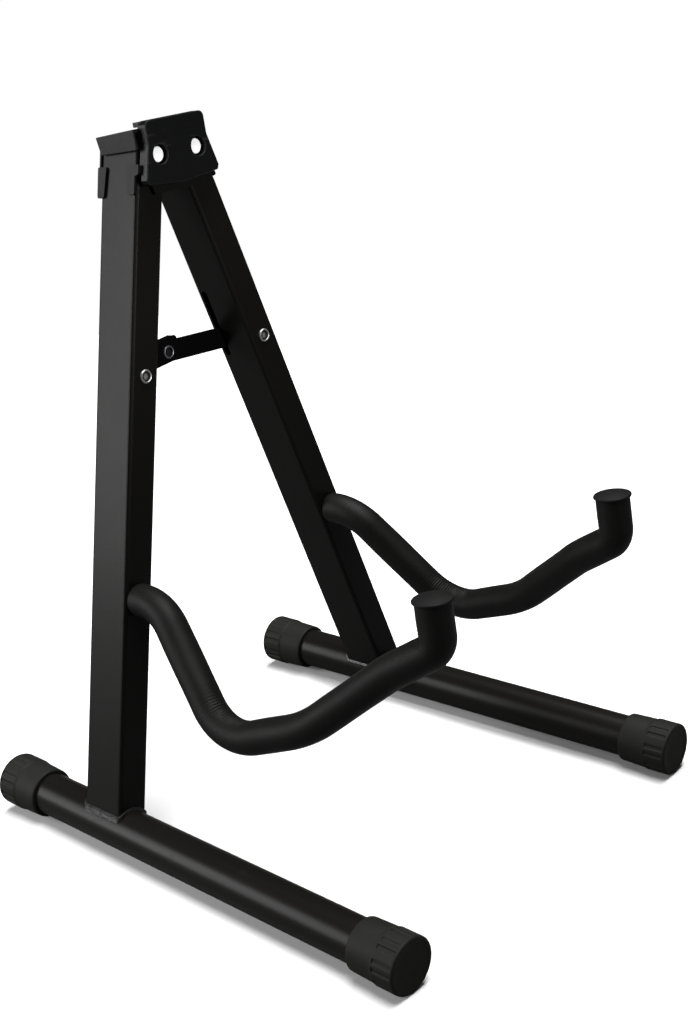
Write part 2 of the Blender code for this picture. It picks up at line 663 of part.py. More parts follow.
def build_top_saddle(name):
    """Moulded saddle closing the hinge from above, with a short skirt down each side."""
    frame = hinge_frame()
    crown = corner_outline([(a * MM, b * MM) for a, b in
                            [(-15.2, 13.2), (15.0, 11.7), (15.0, 12.9), (-15.2, 15.4)]],
                           [0.4 * MM] * 4, 2)
    ob = add_object(name, prism(name, crown, -26.6 * MM, 26.6 * MM, 'x'), MATS['plastic'], frame)
    edge = [(-17.1, 4.3), (12.8, 2.9), (14.6, 12.3), (-16.5, 14.9)]
    for side in (-1, 1):
        xs = sorted((side * 24.8 * MM, side * 26.5 * MM))
        skirt = prism("skirt", corner_outline([(a * MM, b * MM) for a, b in edge], [0.8 * MM] * 4, 2),
                      xs[0], xs[1], 'x')
        cut(ob, skirt, frame, 'UNION')
    return ob


def build_pivot_pin(side, name):
    """Riveted pivot pin through both hinge plates and the leg."""
    frame = leg_frame(side)
    f = -COVER_IN
    b = BACK_IN + BACK_T + GAP
    profile = [
        (0.0, f - PIN_HEAD_T), (PIN_HEAD_R - 0.3 * MM, f - PIN_HEAD_T),
        (PIN_HEAD_R, f - PIN_HEAD_T + 0.3 * MM), (PIN_HEAD_R, f), (PIN_R, f), (PIN_R, b),
        (4.6 * MM, b), (4.6 * MM, b + 0.9 * MM), (3.6 * MM, b + 1.5 * MM), (0.0, b + 1.5 * MM),
    ]
    return add_object(name, lathe(name, profile, 28), MATS['zinc'], frame, None, True)


def build_washer(side, name):
    """Plastic washer between a leg and the front hinge plate."""
    hi = -(LEG_D / 2 + GAP)
    lo = hi - WASHER_T
    r0, r1 = PIN_R + GAP, 7.0 * MM
    profile = [(r0, lo), (r1, lo), (r1, hi), (r0, hi), (r0, lo)]
    return add_object(name, lathe(name, profile, 24), MATS['plastic'], leg_frame(side), None, True)


# ---- assembly --------------------------------------------------------------------------------------
def build_leg_group(side, word):
    """Everything that swings with one leg."""
    root = add_empty(word + "_leg_pivot", leg_frame(side))
    build_leg(side, word + "_leg", root)
    build_leg_plug(side, word + "_leg_plug", root)
    build_foot_tube(side, word + "_foot_tube", root)
    build_foot_weld(side, word + "_foot_weld", root)
    build_foot_cap(side, True, word + "_front_foot_cap", root)
    build_foot_cap(side, False, word + "_rear_foot_cap", root)
    build_arm_rod(side, word + "_arm_rod", root)
    build_arm_foam(side, word + "_arm_foam", root)
    build_arm_tip(side, word + "_arm_tip", root)
    build_brace_screw(side, word + "_brace_screw", root)
    return root


def build_brace(root):
    """Two-piece brace, hung on the left leg."""
    half, z, elbow, a0, b0, l2 = brace_layout()
    y0 = -BRACE_N
    inner = LEG_D / 2 - LEG_WALL - GAP
    build_bush("left_brace_front_bush", -inner, y0 - GAP, -1, root)
    build_bush("right_brace_bush", -inner, y0 - 8.6 * MM, 1, ROOTS[1])
    short = add_empty("brace_left_pivot", brace_frame(-half, z, a0), root)
    build_brace_channel("brace_channel", short)
    bend = add_empty("brace_elbow_pivot", brace_frame(elbow[0], elbow[1], -b0), short)
    build_brace_bar("brace_bar", bend)
    build_elbow_rivet("brace_elbow_rivet", short)


def build_hinge():
    """Everything that stays with the top bracket."""
    build_front_plate("hinge_front_plate")
    build_back_plate("hinge_back_plate")
    build_front_cover("hinge_front_cover")
    build_top_saddle("hinge_top_saddle")
    for side, word in ((-1, "left"), (1, "right")):
        build_pivot_pin(side, word + "_pivot_pin")
        build_washer(side, word + "_front_washer")


clear_scene()
PARTS = new_collection("guitar_stand")
TOOLS = new_collection("tools")
MATS = {
    'steel': material("black_powder_steel", (0.018, 0.018, 0.018), 0.0, 0.42),
    'tube': material("black_gloss_steel", (0.018, 0.018, 0.018), 0.0, 0.3),
    'weld': material("painted_weld", (0.022, 0.022, 0.022), 0.0, 0.4),
    'rubber': material("black_rubber", (0.030, 0.031, 0.029), 0.0, 0.7),
    'foam': material("black_foam", (0.025, 0.024, 0.023), 0.0, 0.8),
    'plastic': material("black_plastic", (0.02, 0.02, 0.021), 0.0, 0.5),
    'zinc': material("bright_zinc", (0.75, 0.75, 0.76), 1.0, 0.25),
}
ROOTS = {}
build_hinge()
for SIDE, WORD in ((-1, "left"), (1, "right")):
    ROOTS[SIDE] = build_leg_group(SIDE, WORD)
build_brace(ROOTS[-1])
bpy.context.view_layer.update()
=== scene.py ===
"""Looks of a folding A-frame guitar stand: painted box legs, foot tubes, rubber caps, foam cradle
arms, folding brace and the top hinge."""

import logging
import math
from dataclasses import dataclass
from enum import Enum
from typing import Optional, Sequence, Union

import bmesh
import bpy
from mathutils import Matrix, Vector


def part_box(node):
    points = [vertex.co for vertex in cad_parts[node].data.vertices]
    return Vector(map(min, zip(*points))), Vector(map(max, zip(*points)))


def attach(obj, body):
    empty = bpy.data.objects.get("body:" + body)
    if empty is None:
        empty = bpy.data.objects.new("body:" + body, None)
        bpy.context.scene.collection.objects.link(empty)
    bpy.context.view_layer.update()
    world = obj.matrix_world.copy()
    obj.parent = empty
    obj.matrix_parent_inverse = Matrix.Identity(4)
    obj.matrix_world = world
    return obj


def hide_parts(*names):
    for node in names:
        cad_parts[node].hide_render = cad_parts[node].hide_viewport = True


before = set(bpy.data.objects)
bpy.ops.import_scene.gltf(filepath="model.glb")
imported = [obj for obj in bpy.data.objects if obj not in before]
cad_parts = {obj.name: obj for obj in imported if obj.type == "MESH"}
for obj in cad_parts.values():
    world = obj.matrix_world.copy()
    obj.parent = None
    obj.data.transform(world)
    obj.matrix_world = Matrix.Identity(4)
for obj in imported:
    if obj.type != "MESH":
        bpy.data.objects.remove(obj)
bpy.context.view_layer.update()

LOG = logging.getLogger("guitar_stand")
MM = 0.001
Value = Union["Signal", float, int]
Colour = tuple[float, float, float, float]
Outline = list[tuple[float, float]]
Ring = list[bmesh.types.BMVert]


class Side(Enum):
    """Which half of the stand a piece belongs to."""

    LEFT = -1
    RIGHT = 1

    @property
    def word(self) -> str:
        """Name prefix of the side."""
        return self.name.lower()

    @property
    def body(self) -> str:
        """Body that the side's leg pieces ride on."""
        return f"{self.word}_leg_assembly"


class End(Enum):
    """End of a foot tube."""

    FRONT = "front"
    REAR = "rear"


class Axis(Enum):
    """Axis that a turned piece is built along."""

    ALONG_Y = "y"
    ALONG_Z = "z"


class Joining(Enum):
    """How a second shape changes a first one."""

    CUT_AWAY = "DIFFERENCE"
    ADDED = "UNION"


# ---------------------------------------------------------------------------------------------------
# shader maths
# ---------------------------------------------------------------------------------------------------
class Signal:
    """A shader socket that takes part in Python expressions."""

    def __init__(self, tree: bpy.types.NodeTree, socket: bpy.types.NodeSocket) -> None:
        """Keep the tree and its socket.

        Args:
            tree: Node tree that the socket is in.
            socket: Output socket that carries the value.
        """
        self.tree = tree
        self.socket = socket

    def _math(self, operation: str, first: Value, second: Optional[Value] = None) -> "Signal":
        """Add one Math node.

        Args:
            operation: Name of the Math node's operation.
            first: First operand.
            second: Second operand, when the operation has one.

        Returns:
            The node's result.
        """
        node = self.tree.nodes.new("ShaderNodeMath")
        node.operation = operation
        for index, value in enumerate((first, second)):
            if isinstance(value, Signal):
                self.tree.links.new(value.socket, node.inputs[index])
            elif value is not None:
                node.inputs[index].default_value = float(value)
        return Signal(self.tree, node.outputs[0])

    def __add__(self, other: Value) -> "Signal":
        """Sum."""
        return self._math("ADD", self, other)

    def __radd__(self, other: Value) -> "Signal":
        """Reflected sum."""
        return self._math("ADD", other, self)

    def __sub__(self, other: Value) -> "Signal":
        """Difference."""
        return self._math("SUBTRACT", self, other)

    def __rsub__(self, other: Value) -> "Signal":
        """Reflected difference."""
        return self._math("SUBTRACT", other, self)

    def __mul__(self, other: Value) -> "Signal":
        """Product."""
        return self._math("MULTIPLY", self, other)

    def __rmul__(self, other: Value) -> "Signal":
        """Reflected product."""
        return self._math("MULTIPLY", other, self)

    def clamped(self) -> "Signal":
        """Value held between zero and one."""
        node = self.tree.nodes.new("ShaderNodeClamp")
        self.tree.links.new(self.socket, node.inputs[0])
        return Signal(self.tree, node.outputs[0])


class Look:
    """Builds one node material round a Principled shader."""

    MIX_FACTOR, MIX_FIRST, MIX_SECOND, MIX_RESULT = 0, 6, 7, 2
    # width of the edge band painted lighter: wear, and on the plastic also a painted highlight
    WEAR_AND_HIGHLIGHT_BAND = 0.6 * MM

    def __init__(self, name: str) -> None:
        """Start an empty material.

        Args:
            name: Name of the finish.
        """
        self.material = bpy.data.materials.new(name)
        self.material.use_nodes = True
        self.tree = self.material.node_tree
        self.shader = self.tree.nodes["Principled BSDF"]
        place = self.tree.nodes.new("ShaderNodeTexCoord")
        self.position = Signal(self.tree, place.outputs["Object"])

    def node(
        self,
        kind: str,
        settings: Optional[dict[str, object]] = None,
        inputs: Optional[dict[Union[str, int], object]] = None,
        output: Union[str, int] = 0,
    ) -> Signal:
        """Add any node.

        Args:
            kind: Type name of the node.
            settings: Attributes to set before the sockets; "stops" fills a colour ramp.
            inputs: Values or signals for its sockets, by name or number.
            output: Which output to return.

        Returns:
            The chosen output.
        """
        made = self.tree.nodes.new(kind)
        for key, value in (settings or {}).items():
            if key == "stops":
                self._fill_ramp(made, value)
            else:
                setattr(made, key, value)
        for key, value in (inputs or {}).items():
            if isinstance(value, Signal):
                self.tree.links.new(value.socket, made.inputs[key])
            else:
                made.inputs[key].default_value = value
        return Signal(self.tree, made.outputs[output])

    @staticmethod
    def _fill_ramp(ramp: bpy.types.Node, stops: Sequence[tuple[float, float]]) -> None:
        """Set a grey ramp's stops.

        Args:
            ramp: Colour ramp node.
            stops: Pairs of position and grey level.
        """
        elements = ramp.color_ramp.elements
        while len(elements) < len(stops):
            elements.new(0.5)
        for element, (place, grey) in zip(elements, stops):
            element.position = place
            element.color = (grey, grey, grey, 1.0)

    def noise(self, scale: float, detail: float = 3.0, roughness: float = 0.5,
              stretch: tuple[float, float, float] = (1.0, 1.0, 1.0)) -> Signal:
        """Soft random pattern.

        Args:
            scale: Features per metre.
            detail: Octaves of finer pattern.
            roughness: Strength of the finer octaves.
            stretch: Scale along each axis.

        Returns:
            Value round one half.
        """
        placed = self.node("ShaderNodeVectorMath", {"operation": "MULTIPLY"},
                           {0: self.position, 1: stretch})
        return self.node("ShaderNodeTexNoise", None,
                         {"Vector": placed, "Scale": scale, "Detail": detail, "Roughness": roughness})

    def cells(self, scale: float) -> Signal:
        """Distance to the nearest of many random cells.

        Args:
            scale: Cells per metre.

        Returns:
            Distance, in cell units.
        """
        return self.node("ShaderNodeTexVoronoi", {"feature": "F1"},
                         {"Vector": self.position, "Scale": scale})

    def ramp(self, value: Signal, *stops: tuple[float, float]) -> Signal:
        """Pass a value through a grey ramp.

        Args:
            value: Value from zero to one.
            stops: Pairs of position and grey level.

        Returns:
            Ramped value.
        """
        return self.node("ShaderNodeValToRGB", {"stops": stops}, {"Fac": value})

    def blend(self, factor: Value, first: object, second: object) -> Signal:
        """Mix two colours.

        Args:
            factor: Share of the second colour.
            first: Colour or signal at zero.
            second: Colour or signal at one.

        Returns:
            Mixed colour.
        """
        inputs = {self.MIX_FACTOR: factor, self.MIX_FIRST: first, self.MIX_SECOND: second}
        return self.node("ShaderNodeMix", {"data_type": "RGBA"}, inputs, self.MIX_RESULT)

    def edges(self) -> Signal:
        """How close the surface is to an outer or inner edge.

        Returns:
            One on the edge, falling to zero on flat faces.
        """
        rounded = self.node("ShaderNodeBevel", {"samples": 4}, {"Radius": self.WEAR_AND_HIGHLIGHT_BAND})
        plain = self.node("ShaderNodeNewGeometry", None, None, "Normal")
        match = self.node("ShaderNodeVectorMath", {"operation": "DOT_PRODUCT"},
                          {0: rounded, 1: plain}, "Value")
        return self.ramp(1 - match, (0.01, 0.0), (0.12, 1.0))

    def bump(self, height: Signal, depth: float) -> Signal:
        """Surface relief.

        Args:
            height: Relief, from zero to one.
            depth: Relief depth in metres.

        Returns:
            Normal.
        """
        return self.node("ShaderNodeBump", None,
                         {"Height": height, "Distance": depth, "Strength": 1.0})

    def finish(self, **sockets: object) -> bpy.types.Material:
        """Set the shader's sockets.

        Args:
            sockets: Socket names, with underscores for spaces, and their values or signals.

        Returns:
            The finished material.
        """
        for key, value in sockets.items():
            socket = self.shader.inputs[key.replace("_", " ")]
            if isinstance(value, Signal):
                self.tree.links.new(value.socket, socket)
            else:
                socket.default_value = value
        return self.material


def grey(level: float, warm: float = 0.0) -> Colour:
    """Grey colour with a slight warm or cool cast.

    Args:
        level: Linear grey level.
        warm: Share by which red rises and blue falls.

    Returns:
        Colour with full alpha.
    """
    return (level * (1 + warm), level, level * (1 - warm), 1.0)


# ---------------------------------------------------------------------------------------------------
# finishes
# ---------------------------------------------------------------------------------------------------
@dataclass(frozen=True)
class PowderCoat:
    """Satin black powder coat with fine orange peel and edges rubbed slightly brighter."""

    name: str = "satin_powder_coat"
    base: float = 0.0024
    light: float = 0.0036
    warm: float = 0.10
    rough: float = 0.34
    peel: float = 900.0
    peel_depth: float = 0.05 * MM
    specular: float = 0.09

    def make(self) -> bpy.types.Material:
        """Build the material."""
        look = Look(self.name)
        cloud = look.noise(14.0, 3.0)
        peel = look.noise(self.peel, 2.0)
        dust = look.ramp(look.cells(420.0), (0.0, 1.0), (0.09, 0.0))
        tone = look.blend(cloud, grey(self.base, self.warm), grey(self.light, self.warm))
        worn = look.blend(look.edges() * 0.35, tone, grey(self.light * 3.2, self.warm))
        colour = look.blend(dust * 0.10, worn, grey(0.05, 0.02))
        rough = self.rough + (cloud - 0.5) * 0.10 + (peel - 0.5) * 0.08
        return look.finish(Base_Color=colour, Roughness=rough, Specular_IOR_Level=self.specular,
                           Normal=look.bump(peel, self.peel_depth))


@dataclass(frozen=True)
class TubePaint:
    """Glossier black paint of the round foot tubes, faintly drawn along the tube."""

    name: str = "foot_tube_paint"
    base: float = 0.0045
    light: float = 0.0065
    warm: float = 0.10
    rough: float = 0.33
    specular: float = 0.10
    relief: float = 0.05 * MM

    def make(self) -> bpy.types.Material:
        """Build the material."""
        look = Look(self.name)
        cloud = look.noise(18.0, 3.0)
        drawn = look.noise(260.0, 2.0, 0.5, (1.0, 0.04, 1.0))
        peel = look.noise(1100.0, 2.0)
        scuff = look.ramp(look.noise(60.0, 5.0, 0.7), (0.60, 0.0), (0.72, 1.0))
        tone = look.blend(cloud, grey(self.base, self.warm), grey(self.light, self.warm))
        colour = look.blend(scuff * 0.05, tone, grey(0.03, self.warm))
        rough = self.rough + (drawn - 0.5) * 0.10 + scuff * 0.07
        return look.finish(Base_Color=colour, Roughness=rough, Specular_IOR_Level=self.specular,
                           Normal=look.bump(peel * 0.6 + drawn * 0.4, self.relief))


@dataclass(frozen=True)
class WeldPaint:
    """Rippled weld bead under black paint, with its crests rubbed bright in places."""

    name: str = "painted_weld"
    base: float = 0.005
    rubbed: float = 0.10
    rough: float = 0.34
    relief: float = 0.7 * MM

    def make(self) -> bpy.types.Material:
        """Build the material."""
        look = Look(self.name)
        ripple = look.noise(420.0, 4.0, 0.6)
        bright = look.ramp(look.noise(90.0, 3.0), (0.52, 0.0), (0.66, 1.0))
        colour = look.blend(bright * 0.25, grey(self.base, 0.05), grey(self.rubbed, 0.02))
        rough = self.rough + (ripple - 0.5) * 0.25
        return look.finish(Base_Color=colour, Roughness=rough, Metallic=bright * 0.3,
                           Normal=look.bump(ripple, self.relief))


@dataclass(frozen=True)
class MouldedRubber:
    """Matte grey-black moulded rubber with a fine grain and dust in the hollows."""

    name: str = "moulded_rubber"
    base: Colour = (0.0078, 0.0082, 0.0068, 1.0)
    light: Colour = (0.0125, 0.0130, 0.0108, 1.0)
    rough: float = 0.62
    specular: float = 0.12
    relief: float = 0.09 * MM

    def make(self) -> bpy.types.Material:
        """Build the material."""
        look = Look(self.name)
        cloud = look.noise(45.0, 4.0, 0.6)
        grain = look.noise(1500.0, 2.0)
        speck = look.ramp(look.cells(900.0), (0.0, 1.0), (0.12, 0.0))
        tone = look.blend(cloud, self.base, self.light)
        worn = look.blend(look.edges() * 0.4, tone, grey(0.04, 0.0))
        colour = look.blend(speck * 0.12, worn, grey(0.09, 0.02))
        rough = self.rough + (cloud - 0.5) * 0.16
        return look.finish(Base_Color=colour, Roughness=rough, Specular_IOR_Level=self.specular,
                           Normal=look.bump(grain, self.relief))


@dataclass(frozen=True)
class SleeveFoam:
    """Closed-cell foam sleeve: dense fine pores darkened as painted shade, soft sheen and cloudy wear.
    """

    name: str = "sleeve_foam"
    base: Colour = (0.0019, 0.0018, 0.0016, 1.0)
    light: Colour = (0.0036, 0.0034, 0.0030, 1.0)
    rough: float = 0.52
    specular: float = 0.11
    sheen: float = 0.010
    relief: float = 0.16 * MM

    def make(self) -> bpy.types.Material:
        """Build the material."""
        look = Look(self.name)
        cloud = look.noise(30.0, 4.0, 0.6)
        pores = look.cells(1700.0)
        grain = look.noise(2300.0, 3.0, 0.6)
        pit = look.ramp(pores, (0.05, 1.0), (0.35, 0.0))
        tone = look.blend(cloud, self.base, self.light)
        # painted shade: the pores are darkened
        colour = look.blend(pit * 0.30, tone, grey(0.001))
        rough = self.rough + (cloud - 0.5) * 0.14 + pit * 0.08
        relief = grain * 0.5 + (1 - pit) * 0.5
        return look.finish(Base_Color=colour, Roughness=rough, Specular_IOR_Level=self.specular,
                           Sheen_Weight=self.sheen, Sheen_Roughness=0.5,
                           Normal=look.bump(relief, self.relief))


@dataclass(frozen=True)
class SatinPlastic:
    """Satin moulded black plastic with a spark-eroded grain, light scratches and edges painted
    lighter, partly as rubbed wear and partly as a painted highlight.
    """

    name: str = "satin_plastic"
    base: float = 0.0019
    light: float = 0.0028
    cast: float = -0.05
    rough: float = 0.36
    specular: float = 0.12
    relief: float = 0.07 * MM

    def make(self) -> bpy.types.Material:
        """Build the material."""
        look = Look(self.name)
        cloud = look.noise(35.0, 3.0)
        grain = look.noise(1900.0, 2.0)
        scratch = look.ramp(look.noise(240.0, 3.0, 0.6, (0.12, 1.0, 1.0)), (0.66, 0.0), (0.72, 1.0))
        tone = look.blend(cloud, grey(self.base, self.cast), grey(self.light, self.cast))
        # edges painted lighter: partly rubbed wear, partly a painted highlight along the edges
        worn = look.blend(look.edges() * 0.45, tone, grey(0.05, self.cast))
        colour = look.blend(scratch * 0.16, worn, grey(0.06))
        rough = self.rough + (grain - 0.5) * 0.12 - scratch * 0.06
        return look.finish(Base_Color=colour, Roughness=rough, Specular_IOR_Level=self.specular,
                           Normal=look.bump(grain, self.relief))


@dataclass(frozen=True)
class BrightZinc:
    """Bright zinc plate with faint brushing and dull spots."""

    name: str = "bright_zinc"
    light: Colour = (0.86, 0.87, 0.88, 1.0)
    dull: Colour = (0.60, 0.60, 0.60, 1.0)
    rough: float = 0.24
    metal: float = 0.85
    relief: float = 0.03 * MM

    def make(self) -> bpy.types.Material:
        """Build the material."""
        look = Look(self.name)
        cloud = look.noise(300.0, 3.0)
        brushed = look.noise(1600.0, 2.0, 0.5, (1.0, 1.0, 0.15))
        spots = look.ramp(look.cells(700.0), (0.0, 1.0), (0.18, 0.0))
        colour = look.blend((cloud * 0.5 + spots * 0.4).clamped(), self.light, self.dull)
        rough = self.rough + (brushed - 0.5) * 0.18 + spots * 0.12
        return look.finish(Base_Color=colour, Roughness=rough, Metallic=self.metal,
                           Normal=look.bump(brushed, self.relief))


@dataclass(frozen=True)
class StudioSweep:
    """Pale matte studio floor with the faintest mottling, which throws little light back up."""

    name: str = "studio_sweep"
    level: float = 0.90
    bounce: float = 0.16

    def make(self) -> bpy.types.Material:
        """Build the material."""
        look = Look(self.name)
        cloud = look.noise(3.0, 2.0)
        seen = look.node("ShaderNodeLightPath", None, None, "Is Camera Ray")
        pale = look.blend(cloud, grey(self.level * 0.985), grey(self.level))
        colour = look.blend(seen, grey(self.bounce), pale)
        return look.finish(Base_Color=colour, Roughness=0.85 + (cloud - 0.5) * 0.1,
                           Specular_IOR_Level=0.2)


class Finishes:
    """All the finishes, each made once."""

    def __init__(self) -> None:
        """Make the materials."""
        self.coat = PowderCoat().make()
        self.dark_coat = PowderCoat("brace_powder_coat", base=0.0008, light=0.0014, warm=0.0,
                                    rough=0.45, specular=0.03).make()
        self.bracket = PowderCoat("bracket_powder_coat", base=0.0020, light=0.0032, warm=0.08,
                                  rough=0.38).make()
        # painted shade: dark finish for the insides of screw wells, socket walls and the rivet bore
        self.well = PowderCoat("painted_well_shade", base=0.004, light=0.012, warm=0.0, rough=0.45).make()
        self.tube = TubePaint().make()
        self.weld = WeldPaint().make()
        self.rubber = MouldedRubber().make()
        self.tip = MouldedRubber("tip_rubber", base=(0.0022, 0.0022, 0.0021, 1.0),
                                 light=(0.0040, 0.0040, 0.0038, 1.0)).make()
        self.foam = SleeveFoam().make()
        self.plastic = SatinPlastic().make()
        self.zinc = BrightZinc("screw_zinc", light=(0.36, 0.36, 0.355, 1.0),
                               dull=(0.20, 0.20, 0.195, 1.0), rough=0.33, metal=0.8).make()
        self.ring = BrightZinc("rivet_ring", light=(0.13, 0.13, 0.145, 1.0),
                               dull=(0.07, 0.07, 0.08, 1.0), rough=0.36, metal=0.6).make()
        self.pin = BrightZinc("pin_zinc", light=(0.95, 0.95, 0.95, 1.0),
                              dull=(0.86, 0.86, 0.86, 1.0), rough=0.38, metal=0.05).make()


# ---------------------------------------------------------------------------------------------------
# mesh building
# ---------------------------------------------------------------------------------------------------
class Shape:
    """Mesh building steps shared by the sub-assemblies."""

    SMOOTH_ANGLE = math.radians(38)
    BEVEL_ANGLE = math.radians(40)
    WELD_DISTANCE = 1e-7

    @staticmethod
    def rounded(corners: Outline, radii: Sequence[float], steps: int = 8) -> Outline:
        """Round the corners of a closed outline.

        Args:
            corners: Sharp corners, in order.
            radii: Radius of each corner.
            steps: Segments in each corner.

        Returns:
            Outline with arcs for corners.
        """
        out: Outline = []
        count = len(corners)
        for index, corner in enumerate(corners):
            here = Vector(corner)
            to_last = (Vector(corners[index - 1]) - here).normalized()
            to_next = (Vector(corners[(index + 1) % count]) - here).normalized()
            half = to_last.angle(to_next) / 2
            radius = radii[index]
            reach = radius / math.tan(half)
            centre = here + (to_last + to_next).normalized() * (radius / math.sin(half))
            first = here + to_last * reach - centre
            last = here + to_next * reach - centre
            turn = first.angle(last) * (1 if first.x * last.y > first.y * last.x else -1)
            for step in range(steps + 1):
                spin = Matrix.Rotation(turn * step / steps, 2)
                point = centre + spin @ first
                out.append((point.x, point.y))
        return out

    @classmethod
    def piece(cls, name: str, mesh: bmesh.types.BMesh, place: Matrix,
              material: bpy.types.Material) -> bpy.types.Object:
        """Turn a mesh into a smooth shaded object.

        Args:
            name: Object name.
            mesh: Finished mesh, freed here.
            place: World matrix.
            material: Finish.

        Returns:
            The object.
        """
        bmesh.ops.remove_doubles(mesh, verts=mesh.verts, dist=cls.WELD_DISTANCE)
        bmesh.ops.recalc_face_normals(mesh, faces=mesh.faces)
        mesh.transform(place)
        data = bpy.data.meshes.new(name)
        mesh.to_mesh(data)
        mesh.free()
        data.materials.append(material)
        data.shade_smooth()
        data.set_sharp_from_angle(angle=cls.SMOOTH_ANGLE)
        made = bpy.data.objects.new(name, data)
        bpy.context.scene.collection.objects.link(made)
        return made

    @classmethod
    def turned(cls, profile: Outline, segments: int, axis: Axis = Axis.ALONG_Y) -> bmesh.types.BMesh:
        """Turn a profile into a solid of revolution.

        Args:
            profile: Pairs of radius and height; equal ends close it into a ring.
            segments: Sides round the axis.
            axis: Axis that it is turned about.

        Returns:
            The mesh.
        """
        mesh = bmesh.new()
        verts = [mesh.verts.new((radius, 0, height)) for radius, height in profile]
        lines = [mesh.edges.new(pair) for pair in zip(verts[:-1], verts[1:])]
        bmesh.ops.spin(mesh, geom=verts + lines, cent=(0, 0, 0), axis=(0, 0, 1),
                       angle=math.tau, steps=segments, use_merge=True)
        bmesh.ops.remove_doubles(mesh, verts=mesh.verts, dist=cls.WELD_DISTANCE)
        if axis is Axis.ALONG_Y:
            bmesh.ops.rotate(mesh, verts=mesh.verts, cent=(0, 0, 0),
                             matrix=Matrix.Rotation(-math.pi / 2, 3, 'X'))
        return mesh

    @staticmethod
    def skin(mesh: bmesh.types.BMesh, rings: Sequence[Ring]) -> None:
        """Join each ring of points to the next with faces.

        Args:
            mesh: Mesh that holds the points.
            rings: Rings of the same count, in order.
        """
        for lower, upper in zip(rings[:-1], rings[1:]):
            for step in range(len(lower)):
                after = (step + 1) % len(lower)
                mesh.faces.new((lower[step], lower[after], upper[after], upper[step]))

    @staticmethod
    def slab(outline: Outline, low: float, high: float) -> bmesh.types.BMesh:
        """Flat outline in x and z given thickness along y.

        Args:
            outline: Closed outline.
            low: Lowest y.
            high: Highest y.

        Returns:
            The mesh.
        """
        mesh = bmesh.new()
        face = mesh.faces.new([mesh.verts.new((x, low, z)) for x, z in outline])
        grown = bmesh.ops.extrude_face_region(mesh, geom=[face])
        moved = [part for part in grown["geom"] if isinstance(part, bmesh.types.BMVert)]
        bmesh.ops.translate(mesh, verts=moved, vec=(0, high - low, 0))
        bmesh.ops.recalc_face_normals(mesh, faces=mesh.faces)
        return mesh

    @classmethod
    def soften(cls, made: bpy.types.Object, width: float, segments: int) -> None:
        """Round an object's sharp edges.

        Args:
            made: Object to round.
            width: Width of the rounding.
            segments: Steps across it.
        """
        bevel = made.modifiers.new("rounded edges", 'BEVEL')
        bevel.width = width
        bevel.segments = segments
        bevel.limit_method = 'ANGLE'
        bevel.angle_limit = cls.BEVEL_ANGLE
        bevel.harden_normals = True

    @staticmethod
    def carve(made: bpy.types.Object, tool: bmesh.types.BMesh, place: Matrix,
              joining: Joining = Joining.CUT_AWAY) -> None:
        """Cut or join a shape and keep the result in the object's mesh.

        Args:
            made: Object that is changed.
            tool: Mesh of the other shape, freed here.
            place: World matrix of the other shape.
            joining: Whether the shape is cut away or added.
        """
        data = bpy.data.meshes.new("tool")
        bmesh.ops.recalc_face_normals(tool, faces=tool.faces)
        tool.transform(place)
        tool.to_mesh(data)
        tool.free()
        other = bpy.data.objects.new("tool", data)
        bpy.context.scene.collection.objects.link(other)
        change = made.modifiers.new("change", 'BOOLEAN')
        change.operation = joining.value
        change.solver = 'EXACT'
        change.object = other
        Shape.settle(made)
        bpy.data.objects.remove(other, do_unlink=True)

    @classmethod
    def flatten(cls, made: bpy.types.Object) -> None:
        """Shade broad faces flat and only their rounded borders smooth.

        Args:
            made: Object with large flat faces.
        """
        made.data.shade_smooth()
        made.data.set_sharp_from_angle(angle=cls.SMOOTH_ANGLE)
        weighted = made.modifiers.new("flat faces", 'WEIGHTED_NORMAL')
        weighted.weight = 100
        weighted.keep_sharp = True

    @staticmethod
    def settle(made: bpy.types.Object) -> None:
        """Keep an object's modifiers in its mesh.

        Args:
            made: Object with modifiers.
        """
        bpy.context.view_layer.update()
        graph = bpy.context.evaluated_depsgraph_get()
        old = made.data
        fresh = bpy.data.meshes.new_from_object(made.evaluated_get(graph))
        made.modifiers.clear()
        made.data = fresh
        fresh.name = made.name
        bpy.data.meshes.remove(old)


# ---------------------------------------------------------------------------------------------------
# sub-assemblies
# ---------------------------------------------------------------------------------------------------
@dataclass
class Stance:
    """Where the legs, feet and hinge stand."""

    splay: float = math.radians(16.1)
    lean: float = math.radians(5.7)
    toe_out: float = math.radians(2.0)
    leg_y: float = 67.5 * MM
    foot_z: float = 15.8 * MM
    foot_x: float = 120.6 * MM
    leg_length: float = 382.0 * MM
    gap: float = 0.3 * MM

    @property
    def pivot_x(self) -> float:
        """Pivot's distance from the middle plane."""
        return self.foot_x - self.leg_length * math.sin(self.splay)

    def hinge(self) -> Matrix:
        """Frame of the hinge plane at pivot height: x right, y back, z up the lean."""
        back = Vector((0, math.cos(self.lean), -math.sin(self.lean)))
        rise = Vector((0, math.sin(self.lean), math.cos(self.lean)))
        origin = (Vector((0, self.leg_y, self.foot_z))
                  + rise * (self.leg_length * math.cos(self.splay)))
        turn = Matrix((Vector((1, 0, 0)), back, rise)).transposed()
        return Matrix.Translation(origin) @ turn.to_4x4()

    def leg(self, side: Side) -> Matrix:
        """Frame of a leg at its top pivot, z up the leg.

        Args:
            side: Which leg.

        Returns:
            World matrix.
        """
        return (self.hinge() @ Matrix.Translation((side.value * self.pivot_x, 0, 0))
                @ Matrix.Rotation(-side.value * self.splay, 4, 'Y'))

    def foot(self, side: Side) -> Matrix:
        """Frame of a foot tube under its leg, y to the back along the tube.

        Args:
            side: Which foot.

        Returns:
            World matrix.
        """
        return (Matrix.Translation((side.value * self.foot_x, self.leg_y, self.foot_z))
                @ Matrix.Rotation(side.value * self.toe_out, 4, 'Z'))


